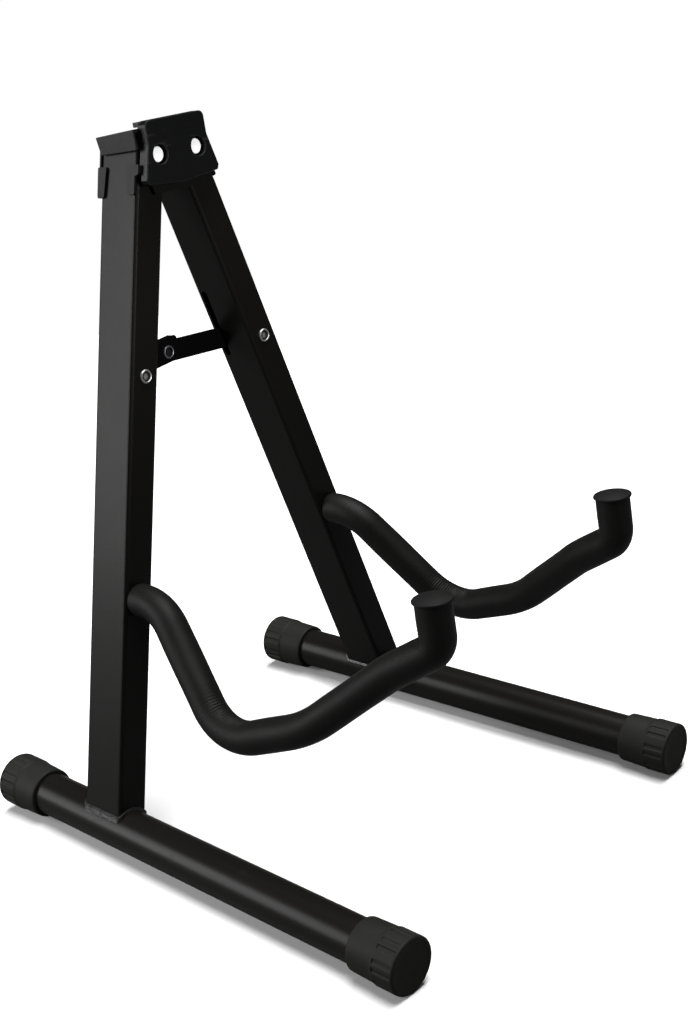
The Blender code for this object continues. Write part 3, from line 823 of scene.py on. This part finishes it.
@dataclass
class Foot:
    """Round foot tube with a moulded cap on each end."""

    stance: Stance
    side: Side
    tube_radius: float = 12.5 * MM
    wall: float = 1.5 * MM
    front: float = 225.7 * MM
    rear: float = 90.6 * MM
    cap_length: float = 32.0 * MM
    cap_face: float = 2.6 * MM
    lip_radius: float = 14.7 * MM
    collar_radius: float = 15.2 * MM
    end_radius: float = 15.8 * MM
    end_round: float = 1.3 * MM
    end_dish: float = 0.15 * MM
    lip_round: float = 1.1 * MM
    rib_pairs: int = 8
    groove_depth: float = 0.75 * MM
    groove_width: float = 2.5 * MM
    groove_middle: float = 2.35 * MM
    groove_edge: float = 0.45 * MM
    first_rib: float = math.radians(8)
    segments: int = 192

    def build(self, finishes: Finishes) -> None:
        """Build the tube and both caps.

        Args:
            finishes: Finishes to dress them with.
        """
        self._tube(finishes)
        for end in End:
            self._cap(end, finishes)

    def _tube(self, finishes: Finishes) -> None:
        """Smooth tube that stands for the CAD one.

        Args:
            finishes: Finishes to dress it with.
        """
        low = -(self.front - self.cap_face - self.stance.gap)
        high = self.rear - self.cap_face - self.stance.gap
        inner = self.tube_radius - self.wall
        profile = [(inner, low), (self.tube_radius, low), (self.tube_radius, high), (inner, high),
                   (inner, low)]
        name = f"{self.side.word}_foot_tube"
        tube = Shape.piece(f"{name}_drawn", Shape.turned(profile, 96), self.stance.foot(self.side),
                           finishes.tube)
        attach(tube, self.side.body)
        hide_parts(name)
        LOG.info("foot tube: %s", tube.name)

    def _radius(self, along: float, angle: float) -> float:
        """Cap radius at a point.

        Args:
            along: Distance from the cap's lip.
            angle: Angle round the axis.

        Returns:
            Radius.
        """
        length, lip = self.cap_length, self.lip_round
        rise_from, rise_to = length * 0.50, length * 0.58
        if along < lip:
            share = 1 - along / lip
            radius = self.lip_radius - lip * (1 - math.sqrt(max(0.0, 1 - share * share)))
        elif along < rise_from:
            radius = (self.lip_radius + (self.collar_radius - self.lip_radius)
                      * (along - lip) / (rise_from - lip))
        elif along < rise_to:
            share = (along - rise_from) / (rise_to - rise_from)
            radius = self.collar_radius + (self.end_radius - self.collar_radius) * self._ease(share)
        else:
            radius = self.end_radius
        start = length - self.end_round
        if along > start:
            share = (along - start) / self.end_round
            radius -= self.end_round * (1 - math.sqrt(max(0.0, 1 - share * share)))
        return radius - self.groove_depth * self._groove(along, angle)

    @staticmethod
    def _ease(share: float) -> float:
        """Smooth step from zero to one.

        Args:
            share: Share of the way.

        Returns:
            Eased share.
        """
        share = min(1.0, max(0.0, share))
        return share * share * (3 - 2 * share)

    def _groove(self, along: float, angle: float) -> float:
        """How deep the grip groove is at a point.

        Args:
            along: Distance from the cap's lip.
            angle: Angle round the axis.

        Returns:
            Share of the full depth.
        """
        length, edge = self.cap_length, self.groove_edge
        ends = (self._ease((along - length * 0.57) / edge)
                * self._ease((length - self.end_round * 1.15 - along) / edge))
        pitch = math.tau / self.rib_pairs
        offset = ((angle + self.first_rib) % pitch) - pitch / 2
        channel = abs(abs(offset) * self.end_radius - self.groove_middle)
        return ends * self._ease((self.groove_width / 2 - channel) / edge + 0.5)

    @staticmethod
    def _stations() -> list[float]:
        """Distances from the cap's lip, in millimetres, closest where the shape changes."""
        return [0.0, 0.1, 0.3, 0.6, 1.1, 4.0, 8.0, 12.0, 15.0, 16.0,
                *(16.0 + 0.35 * step for step in range(1, 14)), 22.0, 24.0, 26.0, 27.6,
                *(28.0 + 0.25 * step for step in range(8)), 30.2, 30.6, 31.0, 31.4, 31.7, 31.9, 32.0]

    def _cap(self, end: End, finishes: Finishes) -> None:
        """Cap with a smooth collar, a grooved grip band and a flat end.

        Args:
            end: Which end of the tube.
            finishes: Finishes to dress it with.
        """
        length, bore = self.cap_length, self.tube_radius + self.stance.gap
        mesh = bmesh.new()
        rings = []
        for station in self._stations():
            ring = []
            for step in range(self.segments):
                angle = math.tau * step / self.segments
                radius = self._radius(station * MM, angle)
                ring.append(mesh.verts.new((radius * math.cos(angle), station * MM,
                                            radius * math.sin(angle))))
            rings.append(ring)
        rings.insert(0, self._plain_ring(mesh, bore, 0.0))
        rings.insert(0, self._plain_ring(mesh, bore, length - self.cap_face))
        flat = self.end_radius - self.end_round
        rings.append(self._plain_ring(mesh, flat - 1.0 * MM, length))
        for radius in (flat - 1.4 * MM, 9.0 * MM, 5.5 * MM, 2.5 * MM, 0.8 * MM):
            rings.append(self._plain_ring(mesh, radius, length - self.end_dish))
        Shape.skin(mesh, rings)
        mesh.faces.new(rings[-1])
        mesh.faces.new(rings[0])
        flip = Matrix.Rotation(math.pi, 4, 'Z') if end is End.FRONT else Matrix.Identity(4)
        start = -(self.front - length) if end is End.FRONT else self.rear - length
        place = self.stance.foot(self.side) @ Matrix.Translation((0, start, 0)) @ flip
        name = f"{self.side.word}_{end.value}_foot_cap"
        cap = Shape.piece(f"{name}_moulded", mesh, place, finishes.rubber)
        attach(cap, self.side.body)
        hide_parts(name)
        LOG.info("foot cap: %s", cap.name)

    def _plain_ring(self, mesh: bmesh.types.BMesh, radius: float, along: float) -> Ring:
        """Add one round ring of points.

        Args:
            mesh: Mesh to add to.
            radius: Ring radius.
            along: Distance from the cap's lip.

        Returns:
            The ring's points.
        """
        return [mesh.verts.new((radius * math.cos(math.tau * step / self.segments), along,
                                radius * math.sin(math.tau * step / self.segments)))
                for step in range(self.segments)]


@dataclass
class Bend:
    """One corner of the arm's centre line, in millimetres from the leg's foot point."""

    forward: float
    up: float
    sideways: float
    radius: float


@dataclass
class CradleArm:
    """Bent cradle arm: foam sleeve with creases on the tight bends, and its end cap."""

    stance: Stance
    side: Side
    base: float = 133.0
    start: float = 15.3
    foam_radius: float = 9.5 * MM
    tip_radius: float = 10.6 * MM
    tip_rim: float = 0.95 * MM
    crease_pitch: float = 2.1 * MM
    crease_depth: float = 0.42 * MM
    squash_depth: float = 0.12 * MM
    waviness: float = 0.07 * MM
    tightest: float = 30 * MM
    step: float = 0.55 * MM
    around: int = 72

    def bends(self) -> list[Bend]:
        """Corners of the centre line, from the leg out."""
        return [Bend(33.5, 133.0, 0.0, 33.0), Bend(88.5, 64.0, 0.0, 34.0),
                Bend(147.0, 81.0, -0.5, 80.0), Bend(200.0, 119.0, -2.0, 80.0),
                Bend(230.0, 135.5, -2.0, 11.0)]

    def tip(self) -> Bend:
        """End of the sleeve."""
        return Bend(230.0, 158.5, 4.5, 0.0)

    def _point(self, bend: Bend) -> Vector:
        """Corner in the leg frame.

        Args:
            bend: Corner.

        Returns:
            Point.
        """
        return Vector((self.side.value * bend.sideways, -bend.forward,
                       bend.up)) * MM - Vector((0, 0, self.stance.leg_length))

    def path(self) -> tuple[list[Vector], list[float]]:
        """Centre line in even steps.

        Returns:
            Points, and how tightly the line bends at each, as one over the radius.
        """
        corners = [Bend(self.start, self.base, 0.0, 0.0), *self.bends(), self.tip()]
        points = [self._point(corner) for corner in corners]
        line, curl = [points[0]], [0.0]
        for index in range(1, len(points) - 1):
            here = points[index]
            to_last = (points[index - 1] - here).normalized()
            to_next = (points[index + 1] - here).normalized()
            half = to_last.angle(to_next) / 2
            radius = corners[index].radius * MM
            reach = radius / math.tan(half)
            centre = here + (to_last + to_next).normalized() * (radius / math.sin(half))
            first = here + to_last * reach - centre
            last = here + to_next * reach - centre
            total = first.angle(last)
            self._straight(line, curl, centre + first)
            count = max(3, math.ceil(total * radius / self.step))
            for step in range(1, count + 1):
                share = step / count
                line.append(centre + first * (math.sin((1 - share) * total) / math.sin(total))
                            + last * (math.sin(share * total) / math.sin(total)))
                curl.append(1 / radius)
        self._straight(line, curl, points[-1])
        return line, curl

    def _straight(self, line: list[Vector], curl: list[float], end: Vector) -> None:
        """Run the line straight on to a point.

        Args:
            line: Points so far.
            curl: Bend at each point so far.
            end: Where to run to.
        """
        start = line[-1]
        count = max(1, math.ceil((end - start).length / self.step))
        for step in range(1, count + 1):
            line.append(start.lerp(end, step / count))
            curl.append(0.0)

    def build(self, finishes: Finishes) -> None:
        """Build the sleeve and the end cap.

        Args:
            finishes: Finishes to dress them with.
        """
        line, curl = self.path()
        self._sleeve(line, curl, finishes)
        self._end_cap(line, finishes)

    @staticmethod
    def _smooth(values: list[float], width: int) -> list[float]:
        """Average a row of values over a window.

        Args:
            values: Values along the line.
            width: Points on each side.

        Returns:
            Averaged values.
        """
        count = len(values)
        out = []
        for index in range(count):
            window = values[max(0, index - width):min(count, index + width + 1)]
            out.append(sum(window) / len(window))
        return out

    def _foam_radius(self, index: int, travelled: float, angle: float, squeeze: float) -> float:
        """Sleeve radius at a point.

        Args:
            index: Number of the ring along the line.
            travelled: Distance along the line.
            angle: Angle round the line.
            squeeze: How much the foam is squeezed here, from zero to one.

        Returns:
            Radius.
        """
        wander = math.sin(angle * 3 + index * 0.05) * 0.4
        crease = 0.5 + 0.5 * math.sin(travelled / self.crease_pitch * math.tau + wander)
        depth = squeeze ** 1.2 * (self.crease_depth * crease ** 2 + self.squash_depth)
        soft = self.waviness * math.sin(travelled * 130 + angle * 2)
        tucked = (4 - index) ** 2 * 0.03 * MM if index < 4 else 0.0
        return self.foam_radius - depth + soft - tucked

    def _sleeve(self, line: list[Vector], curl: list[float], finishes: Finishes) -> None:
        """Foam sleeve, squeezed into fine creases inside its tight bends.

        Args:
            line: Centre line points.
            curl: Bend at each point.
            finishes: Finishes to dress it with.
        """
        bend = self._smooth(curl, 14)
        count = len(line)
        tangents = [(line[min(count - 1, i + 1)] - line[max(0, i - 1)]).normalized()
                    for i in range(count)]
        tangents = [sum(tangents[max(0, i - 4):i + 5], Vector()).normalized() for i in range(count)]
        across = Vector((1, 0, 0))
        mesh = bmesh.new()
        rings = []
        travelled = 0.0
        for index in range(count):
            if index:
                travelled += (line[index] - line[index - 1]).length
            tangent = tangents[index]
            across = (across - tangent * across.dot(tangent)).normalized()
            other = tangent.cross(across)
            ahead = tangents[min(count - 1, index + 6)] - tangents[max(0, index - 6)]
            inside = ahead.normalized() if ahead.length > 1e-6 else Vector()
            ring = []
            for step in range(self.around):
                angle = math.tau * step / self.around
                out = across * math.cos(angle) + other * math.sin(angle)
                squeeze = max(0.0, out.dot(inside)) * min(1.0, bend[index] * self.tightest)
                radius = self._foam_radius(index, travelled, angle, squeeze)
                ring.append(mesh.verts.new(line[index] + out * radius))
            rings.append(ring)
        Shape.skin(mesh, rings)
        mesh.faces.new(rings[0])
        mesh.faces.new(rings[-1])
        name = f"{self.side.word}_arm_foam"
        sleeve = Shape.piece(f"{name}_sleeve", mesh, self.stance.leg(self.side), finishes.foam)
        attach(sleeve, self.side.body)
        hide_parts(name)
        LOG.info("arm sleeve: %s", sleeve.name)

    def _end_cap(self, line: list[Vector], finishes: Finishes) -> None:
        """Round cap with a soft rim and a slightly domed top.

        Args:
            line: Centre line points.
            finishes: Finishes to dress it with.
        """
        gap, rim = self.stance.gap, self.tip_rim
        profile = [(0.0, gap), (self.tip_radius - 0.8 * MM, gap)]
        for step in range(13):
            angle = -math.pi / 2 + math.pi * step / 12
            profile.append((self.tip_radius - rim + rim * math.cos(angle),
                            gap + rim + rim * math.sin(angle)))
        profile += [(self.tip_radius - 1.9 * MM, gap + 2.15 * MM),
                    (self.tip_radius - 3.0 * MM, 2.8 * MM), (self.tip_radius * 0.5, 3.3 * MM),
                    (self.tip_radius * 0.2, 3.55 * MM), (0.0, 3.6 * MM)]
        axis = (line[-1] - line[-4]).normalized()
        turn = Vector((0, 0, 1)).rotation_difference(axis).to_matrix().to_4x4()
        place = self.stance.leg(self.side) @ Matrix.Translation(line[-1]) @ turn
        name = f"{self.side.word}_arm_tip"
        cap = Shape.piece(f"{name}_moulded", Shape.turned(profile, 96, Axis.ALONG_Z), place,
                          finishes.tip)
        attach(cap, self.side.body)
        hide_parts(name)
        LOG.info("arm tip: %s", cap.name)


@dataclass
class BraceHardware:
    """Bright socket screws through the legs and the hollow rivet at the brace's elbow."""

    stance: Stance
    up_leg: float = 259.4 * MM
    leg_depth: float = 30.0 * MM
    shank: float = 2.5 * MM
    head: float = 4.0 * MM
    well: float = 2.9 * MM
    socket: float = 2.0 * MM
    head_height: float = 1.4 * MM
    well_depth: float = 0.75 * MM
    rivet_bore: float = 2.8 * MM
    rivet_head: float = 3.9 * MM
    rivet_half: float = 2.95 * MM

    def build(self, finishes: Finishes) -> None:
        """Build both screws and the elbow rivet.

        Args:
            finishes: Finishes to dress them with.
        """
        for side in Side:
            self._screw(side, finishes)
        self._rivet(finishes)

    def _screw(self, side: Side, finishes: Finishes) -> None:
        """Screw head with a rolled rim round a well and a hexagon socket, whose floor and walls are
        painted dark as shade.

        Args:
            side: Which leg.
            finishes: Finishes to dress it with.
        """
        gap = self.stance.gap
        face = -(self.leg_depth / 2 + gap)
        tail = self.leg_depth / 2 + 1.2 * MM if side is Side.LEFT else 2.0 * MM
        top = face - self.head_height
        floor = top + self.well_depth
        profile = [(0.0, floor - 0.25 * MM), (self.socket * 0.75, floor - 0.2 * MM),
                   (self.well - 0.5 * MM, floor), (self.well, floor),
                   (self.well + 0.05 * MM, top + 0.3 * MM), (self.well + 0.25 * MM, top + 0.08 * MM),
                   (self.well + 0.55 * MM, top), (self.head - 0.55 * MM, top + 0.08 * MM),
                   (self.head - 0.2 * MM, top + 0.3 * MM),
                   (self.head, top + 0.7 * MM), (self.head, face), (self.shank, face),
                   (self.shank, tail), (0.0, tail)]
        place = (self.stance.leg(side)
                 @ Matrix.Translation((0, 0, self.up_leg - self.stance.leg_length)))
        name = f"{side.word}_brace_screw"
        still = Matrix.Identity(4)
        screw = Shape.piece(f"{name}_turned", Shape.turned(profile, 72), still, finishes.zinc)
        corners = [math.tau * corner / 6 for corner in range(6)]
        hexagon = [(self.socket * math.cos(turn), self.socket * math.sin(turn)) for turn in corners]
        Shape.carve(screw, Shape.slab(hexagon, face - 3 * MM, face - 0.1 * MM), still)
        # painted shade: the well floor and socket walls are painted dark
        self._paint_well_shade(screw, 1.5 * MM, self.well - 0.05 * MM, finishes)
        screw.data.transform(place)
        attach(screw, side.body)
        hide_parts(name)
        LOG.info("brace screw: %s", screw.name)

    @staticmethod
    def _paint_well_shade(made: bpy.types.Object, inner: float, outer: float, finishes: Finishes) -> None:
        """Give the faces inside a head's well a dark finish as painted shade.

        Args:
            made: Screw or rivet, still on its own axis along y.
            inner: Inner radius of the dark ring.
            outer: Outer radius of the dark ring.
            finishes: Finishes to dress it with.
        """
        made.data.materials.append(finishes.well)
        for face in made.data.polygons:
            if inner <= math.hypot(face.center.x, face.center.z) < outer:
                face.material_index = 1

    def _rivet(self, finishes: Finishes) -> None:
        """Hollow rivet at the elbow: a thin rolled ring round a bore painted dark as shade, with a
        dark core set inside it as painted shade.

        Args:
            finishes: Finishes to dress it with.
        """
        low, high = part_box("brace_elbow_rivet")
        middle = (low + high) / 2
        turn = self.stance.hinge().to_3x3().to_4x4()
        place = Matrix.Translation(middle) @ turn
        front, back = -self.rivet_half, self.rivet_half
        head, bore = self.rivet_head, self.rivet_bore
        profile = [(bore, front + 0.45 * MM), (bore + 0.15 * MM, front + 0.15 * MM),
                   (bore + 0.5 * MM, front), (head - 0.5 * MM, front + 0.05 * MM),
                   (head - 0.12 * MM, front + 0.3 * MM), (head, front + 0.6 * MM),
                   (head, front + 1.0 * MM),
                   (bore + 0.4 * MM, front + 1.0 * MM), (bore + 0.4 * MM, back - 1.0 * MM),
                   (head, back - 1.0 * MM), (head, back), (bore, back), (bore, front + 0.45 * MM)]
        ring = Shape.piece("brace_elbow_rivet_turned", Shape.turned(profile, 64), Matrix.Identity(4),
                           finishes.ring)
        # painted shade: the bore's wall is painted dark
        self._paint_well_shade(ring, 0.0, bore + 0.1 * MM, finishes)
        # painted shade: a dark core inside the hollow bore stands in for the shade down it
        core = [(0.0, front + 2.0 * MM), (bore, front + 2.0 * MM), (bore, back - 0.4 * MM),
                (0.0, back - 0.4 * MM)]
        plug = Shape.piece("brace_elbow_rivet_shade_core", Shape.turned(core, 48), Matrix.Identity(4),
                           finishes.well)
        for made in (ring, plug):
            made.data.transform(place)
            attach(made, "brace_short_link")
        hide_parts("brace_elbow_rivet")
        LOG.info("elbow rivet: %s", ring.name)


@dataclass
class TopHinge:
    """Moulded front cover with the pivot pins in its two holes, and the saddle behind it."""

    stance: Stance
    plate_in: float = 16.4 * MM
    plate_thick: float = 1.5 * MM
    front: float = 23.0 * MM
    hole: float = 5.5 * MM
    wall: float = 1.5 * MM
    back_face: float = 16.5 * MM
    pin: float = 3.0 * MM
    pin_head: float = 4.25 * MM
    pin_head_thick: float = 2.4 * MM
    pin_tail: float = 4.6 * MM
    cover_round: float = 0.55 * MM
    saddle_half: float = 26.6
    saddle_wall: float = 1.8

    @property
    def cover_in(self) -> float:
        """Inner face of the cover's front wall."""
        return self.plate_in + self.plate_thick + self.stance.gap

    def _outline(self, inset: float) -> Outline:
        """Cover outline drawn in by an inset in millimetres.

        Args:
            inset: Inset.

        Returns:
            Closed outline in x and z.
        """
        corners = [(-28.2 + inset, -12.5), (-27.0 + inset, -15.2 + inset), (0.0, -17.4 + inset),
                   (27.0 - inset, -15.2 + inset), (28.2 - inset, -12.5), (22.6 - inset, 6.0),
                   (22.6 - inset, 19.0 - inset), (-22.6 + inset, 19.0 - inset), (-22.6 + inset, 6.0)]
        top = 3.4 - 0.6 * inset
        radii = [1.5, 1.5, 40.0, 1.5, 1.5, 2.0, top, top, 2.0]
        return Shape.rounded([(x * MM, z * MM) for x, z in corners], [r * MM for r in radii])

    def build(self, finishes: Finishes) -> None:
        """Build the cover, the saddle and the pins.

        Args:
            finishes: Finishes to dress them with.
        """
        self._cover(finishes)
        self._saddle(finishes)
        for side in Side:
            self._pin(side, finishes)

    def _box(self, low: Sequence[float], high: Sequence[float]) -> bmesh.types.BMesh:
        """Box between two corners in millimetres.

        Args:
            low: Lowest corner.
            high: Highest corner.

        Returns:
            The mesh.
        """
        mesh = bmesh.new()
        bmesh.ops.create_cube(mesh, size=1.0)
        size = [(b - a) * MM for a, b in zip(low, high)]
        middle = [(a + b) / 2 * MM for a, b in zip(low, high)]
        bmesh.ops.scale(mesh, vec=size, verts=mesh.verts)
        bmesh.ops.translate(mesh, vec=middle, verts=mesh.verts)
        return mesh

    def _cover(self, finishes: Finishes) -> None:
        """Hollow cover with rounded edges, a top lip and two chamfered holes.

        Args:
            finishes: Finishes to dress it with.
        """
        place, still = self.stance.hinge(), Matrix.Identity(4)
        back = -self.plate_in + 2.2 * MM
        cover = Shape.piece("hinge_front_cover_moulded",
                            Shape.slab(self._outline(0.0), -self.front, back), still, finishes.plastic)
        Shape.soften(cover, self.cover_round, 4)
        Shape.settle(cover)
        Shape.carve(cover, Shape.slab(self._outline(self.wall / MM), -self.cover_in, 0.0), still)
        inner, trim = -self.cover_in / MM, -self.plate_in / MM - 0.2
        Shape.carve(cover, self._box((-40, inner - 0.1, -30), (40, 0, -4.5)), still)
        Shape.carve(cover, self._box((-40, trim, -30), (40, 0, 30)), still)
        Shape.carve(cover, self._box((-21.4, trim - 1.3, 15.9), (21.4, -12.0, 18.6)), still,
                    Joining.ADDED)
        for side in Side:
            spot = Matrix.Translation((side.value * self.stance.pivot_x, 0, 0))
            flare = [(0.0, -30 * MM), (self.hole + 0.25 * MM, -30 * MM),
                     (self.hole + 0.25 * MM, -self.front - 0.01 * MM),
                     (self.hole + 0.07 * MM, -self.front + 0.08 * MM),
                     (self.hole, -self.front + 0.25 * MM), (self.hole, 0.0), (0.0, 0.0)]
            Shape.carve(cover, Shape.turned(flare, 72), spot)
        Shape.flatten(cover)
        cover.data.transform(place)
        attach(cover, "hinge_bracket")
        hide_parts("hinge_front_cover")
        LOG.info("hinge cover: %s", cover.name)

    def _saddle(self, finishes: Finishes) -> None:
        """Saddle over the leg tops, sloping to the back, with a skirt down each side.

        Args:
            finishes: Finishes to dress it with.
        """
        half, wall = self.saddle_half, self.saddle_wall
        side = [(-17.1, 4.2), (12.9, 2.8), (15.0, 12.9), (-16.6, 15.4)]
        outline = Shape.rounded([(y * MM, z * MM) for y, z in side],
                                [0.7 * MM, 1.0 * MM, 0.6 * MM, 0.5 * MM], 4)
        hollow = [(-30.0, -5.0), (30.0, -5.0), (30.0, 10.9), (-30.0, 14.2)]
        turn = Matrix.Rotation(math.radians(-90), 4, 'Z')
        body = Shape.slab([(-y, z) for y, z in outline], -half * MM, half * MM)
        saddle = Shape.piece("hinge_top_saddle_moulded", body, turn, finishes.plastic)
        room = Shape.slab([(-y * MM, z * MM) for y, z in hollow], -(half - wall) * MM,
                          (half - wall) * MM)
        Shape.carve(saddle, room, turn)
        Shape.soften(saddle, 0.35 * MM, 3)
        Shape.settle(saddle)
        Shape.flatten(saddle)
        saddle.data.transform(self.stance.hinge())
        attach(saddle, "hinge_bracket")
        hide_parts("hinge_top_saddle")
        LOG.info("hinge saddle: %s", saddle.name)

    def _pin(self, side: Side, finishes: Finishes) -> None:
        """Pivot pin with a rolled bright head in front and a peened tail behind.

        Args:
            side: Which pivot.
            finishes: Finishes to dress it with.
        """
        gap = self.stance.gap
        face = -self.cover_in
        back = self.back_face + gap
        head = face - self.pin_head_thick
        profile = [(0.0, head + 0.05 * MM), (self.pin_head - 1.0 * MM, head + 0.02 * MM),
                   (self.pin_head - 0.5 * MM, head), (self.pin_head - 0.2 * MM, head + 0.08 * MM),
                   (self.pin_head, head + 0.3 * MM), (self.pin_head, face), (self.pin, face),
                   (self.pin, back), (self.pin_tail, back), (self.pin_tail, back + 0.9 * MM),
                   (4.2 * MM, back + 1.25 * MM), (3.5 * MM, back + 1.5 * MM),
                   (0.0, back + 1.5 * MM)]
        name = f"{side.word}_pivot_pin"
        made = Shape.piece(f"{name}_turned", Shape.turned(profile, 72), self.stance.leg(side),
                           finishes.pin)
        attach(made, "hinge_bracket")
        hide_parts(name)
        LOG.info("pivot pin: %s", made.name)


class CarriedParts:
    """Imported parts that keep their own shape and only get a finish."""

    @staticmethod
    def dress(finishes: Finishes) -> None:
        """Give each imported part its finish.

        Args:
            finishes: Finishes to choose from.
        """
        looks = {"leg": finishes.coat, "leg_plug": finishes.plastic, "foot_weld": finishes.weld,
                 "arm_rod": finishes.coat, "front_washer": finishes.plastic}
        named = {f"{side.word}_{part}": look for side in Side for part, look in looks.items()}
        named.update({"hinge_front_plate": finishes.bracket, "hinge_back_plate": finishes.bracket,
                      "hinge_top_saddle": finishes.plastic, "brace_channel": finishes.dark_coat,
                      "brace_bar": finishes.dark_coat, "brace_elbow_rivet": finishes.zinc,
                      "left_brace_front_bush": finishes.plastic,
                      "right_brace_bush": finishes.plastic})
        for name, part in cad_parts.items():
            look = named.get(name, finishes.coat)
            part.data.materials.clear()
            part.data.materials.append(look)
            LOG.info("carried part: %s in %s", name, look.name)


@dataclass
class Studio:
    """Pale floor, soft lights and the camera."""

    azimuth: float = math.radians(-48.556)
    elevation: float = math.radians(20.775)
    roll: float = math.radians(-4.224)
    distance: float = 1.0835
    target: tuple[float, float, float] = (0.11728, 0.07281, 0.12968)
    focal: float = 1643.3
    centre: tuple[float, float] = (357.24, 510.40)
    image: tuple[int, int] = (689, 1024)
    sensor: float = 36.0
    air_light: float = 0.05
    air_seen: float = 1.0
    floor_half: float = 1.0
    floor_drop: float = 0.5 * MM

    def build(self) -> None:
        """Set up the whole studio."""
        self._floor()
        self._world()
        self._softbox("left_bank", (-1.35, 1.25, 0.66), (0.0, 0.1, 0.26), (0.9, 1.05), 31.0)
        self._softbox("top_bank", (0.2, -0.1, 2.7), (0.1, 0.1, 0.0), (2.6, 1.4), 150.0)
        self._spot("hinge_spot", (0.0, -1.5, 0.62), (0.0, 0.1, 0.34), 15.0, 95.0)
        self._camera()
        bpy.context.scene.view_settings.view_transform = 'Standard'

    def _floor(self) -> None:
        """Flat square floor just under the feet."""
        mesh = bmesh.new()
        bmesh.ops.create_grid(mesh, x_segments=8, y_segments=8, size=self.floor_half)
        floor = Shape.piece("studio_floor", mesh, Matrix.Translation((0, 0, -self.floor_drop)),
                            StudioSweep().make())

    def _world(self) -> None:
        """White surroundings to look at, dimmer ones to light the stand."""
        world = bpy.data.worlds.new("studio_air")
        bpy.context.scene.world = world
        world.use_nodes = True
        tree = world.node_tree
        lit = tree.nodes["Background"]
        seen = tree.nodes.new("ShaderNodeBackground")
        for air, strength in ((lit, self.air_light), (seen, self.air_seen)):
            air.inputs["Color"].default_value = (1.0, 1.0, 1.0, 1.0)
            air.inputs["Strength"].default_value = strength
        path = tree.nodes.new("ShaderNodeLightPath")
        mix = tree.nodes.new("ShaderNodeMixShader")
        tree.links.new(path.outputs["Is Camera Ray"], mix.inputs[0])
        tree.links.new(lit.outputs[0], mix.inputs[1])
        tree.links.new(seen.outputs[0], mix.inputs[2])
        tree.links.new(mix.outputs[0], tree.nodes["World Output"].inputs["Surface"])

    def _softbox(self, name: str, place: Sequence[float], aim: Sequence[float],
                 size: tuple[float, float], power: float) -> None:
        """Add one area light.

        Args:
            name: Light name.
            place: Position.
            aim: Point that it faces.
            size: Width and height.
            power: Power in watts.
        """
        data = bpy.data.lights.new(name, 'AREA')
        data.shape = 'RECTANGLE'
        data.size, data.size_y = size
        data.energy = power
        self._aim(bpy.data.objects.new(name, data), place, aim)

    def _spot(self, name: str, place: Sequence[float], aim: Sequence[float], cone: float,
              power: float) -> None:
        """Add one soft edged spot light.

        Args:
            name: Light name.
            place: Position.
            aim: Point that it faces.
            cone: Full width of the beam in degrees.
            power: Power in watts.
        """
        data = bpy.data.lights.new(name, 'SPOT')
        data.spot_size = math.radians(cone)
        data.spot_blend = 0.8
        data.shadow_soft_size = 0.12
        data.energy = power
        self._aim(bpy.data.objects.new(name, data), place, aim)

    @staticmethod
    def _aim(light: bpy.types.Object, place: Sequence[float], aim: Sequence[float]) -> None:
        """Put a light in the scene and turn it to a point.

        Args:
            light: The light.
            place: Position.
            aim: Point that it faces.
        """
        bpy.context.scene.collection.objects.link(light)
        facing = Vector(place) - Vector(aim)
        light.matrix_world = (Matrix.Translation(place)
                              @ facing.to_track_quat('Z', 'Y').to_matrix().to_4x4())

    def _camera(self) -> None:
        """Add the camera."""
        back = Vector((math.sin(self.azimuth) * math.cos(self.elevation),
                       -math.cos(self.azimuth) * math.cos(self.elevation), math.sin(self.elevation)))
        right = Vector((0, 0, 1)).cross(back).normalized()
        rise = back.cross(right)
        tilted = right * math.cos(self.roll) + rise * math.sin(self.roll)
        crown = back.cross(tilted)
        data = bpy.data.cameras.new("studio_camera")
        width, height = self.image
        data.sensor_fit = 'AUTO'
        data.sensor_width = self.sensor
        data.lens = self.focal * self.sensor / height
        data.shift_x = (width / 2 - self.centre[0]) / height
        data.shift_y = (self.centre[1] - height / 2) / height
        data.clip_start = 0.01
        data.clip_end = 60.0
        camera = bpy.data.objects.new("studio_camera", data)
        bpy.context.scene.collection.objects.link(camera)
        turn = Matrix((tilted, crown, back)).transposed().to_4x4()
        camera.matrix_world = Matrix.Translation(Vector(self.target) + back * self.distance) @ turn
        bpy.context.scene.camera = camera


def main() -> None:
    """Build and dress the stand."""
    logging.basicConfig(level=logging.INFO, format="%(name)s: %(message)s")
    finishes = Finishes()
    stance = Stance()
    CarriedParts.dress(finishes)
    for side in Side:
        Foot(stance, side).build(finishes)
        CradleArm(stance, side).build(finishes)
    BraceHardware(stance).build(finishes)
    TopHinge(stance).build(finishes)
    Studio().build()
    LOG.info("sizes written")


if __name__ == "__main__":
    main()
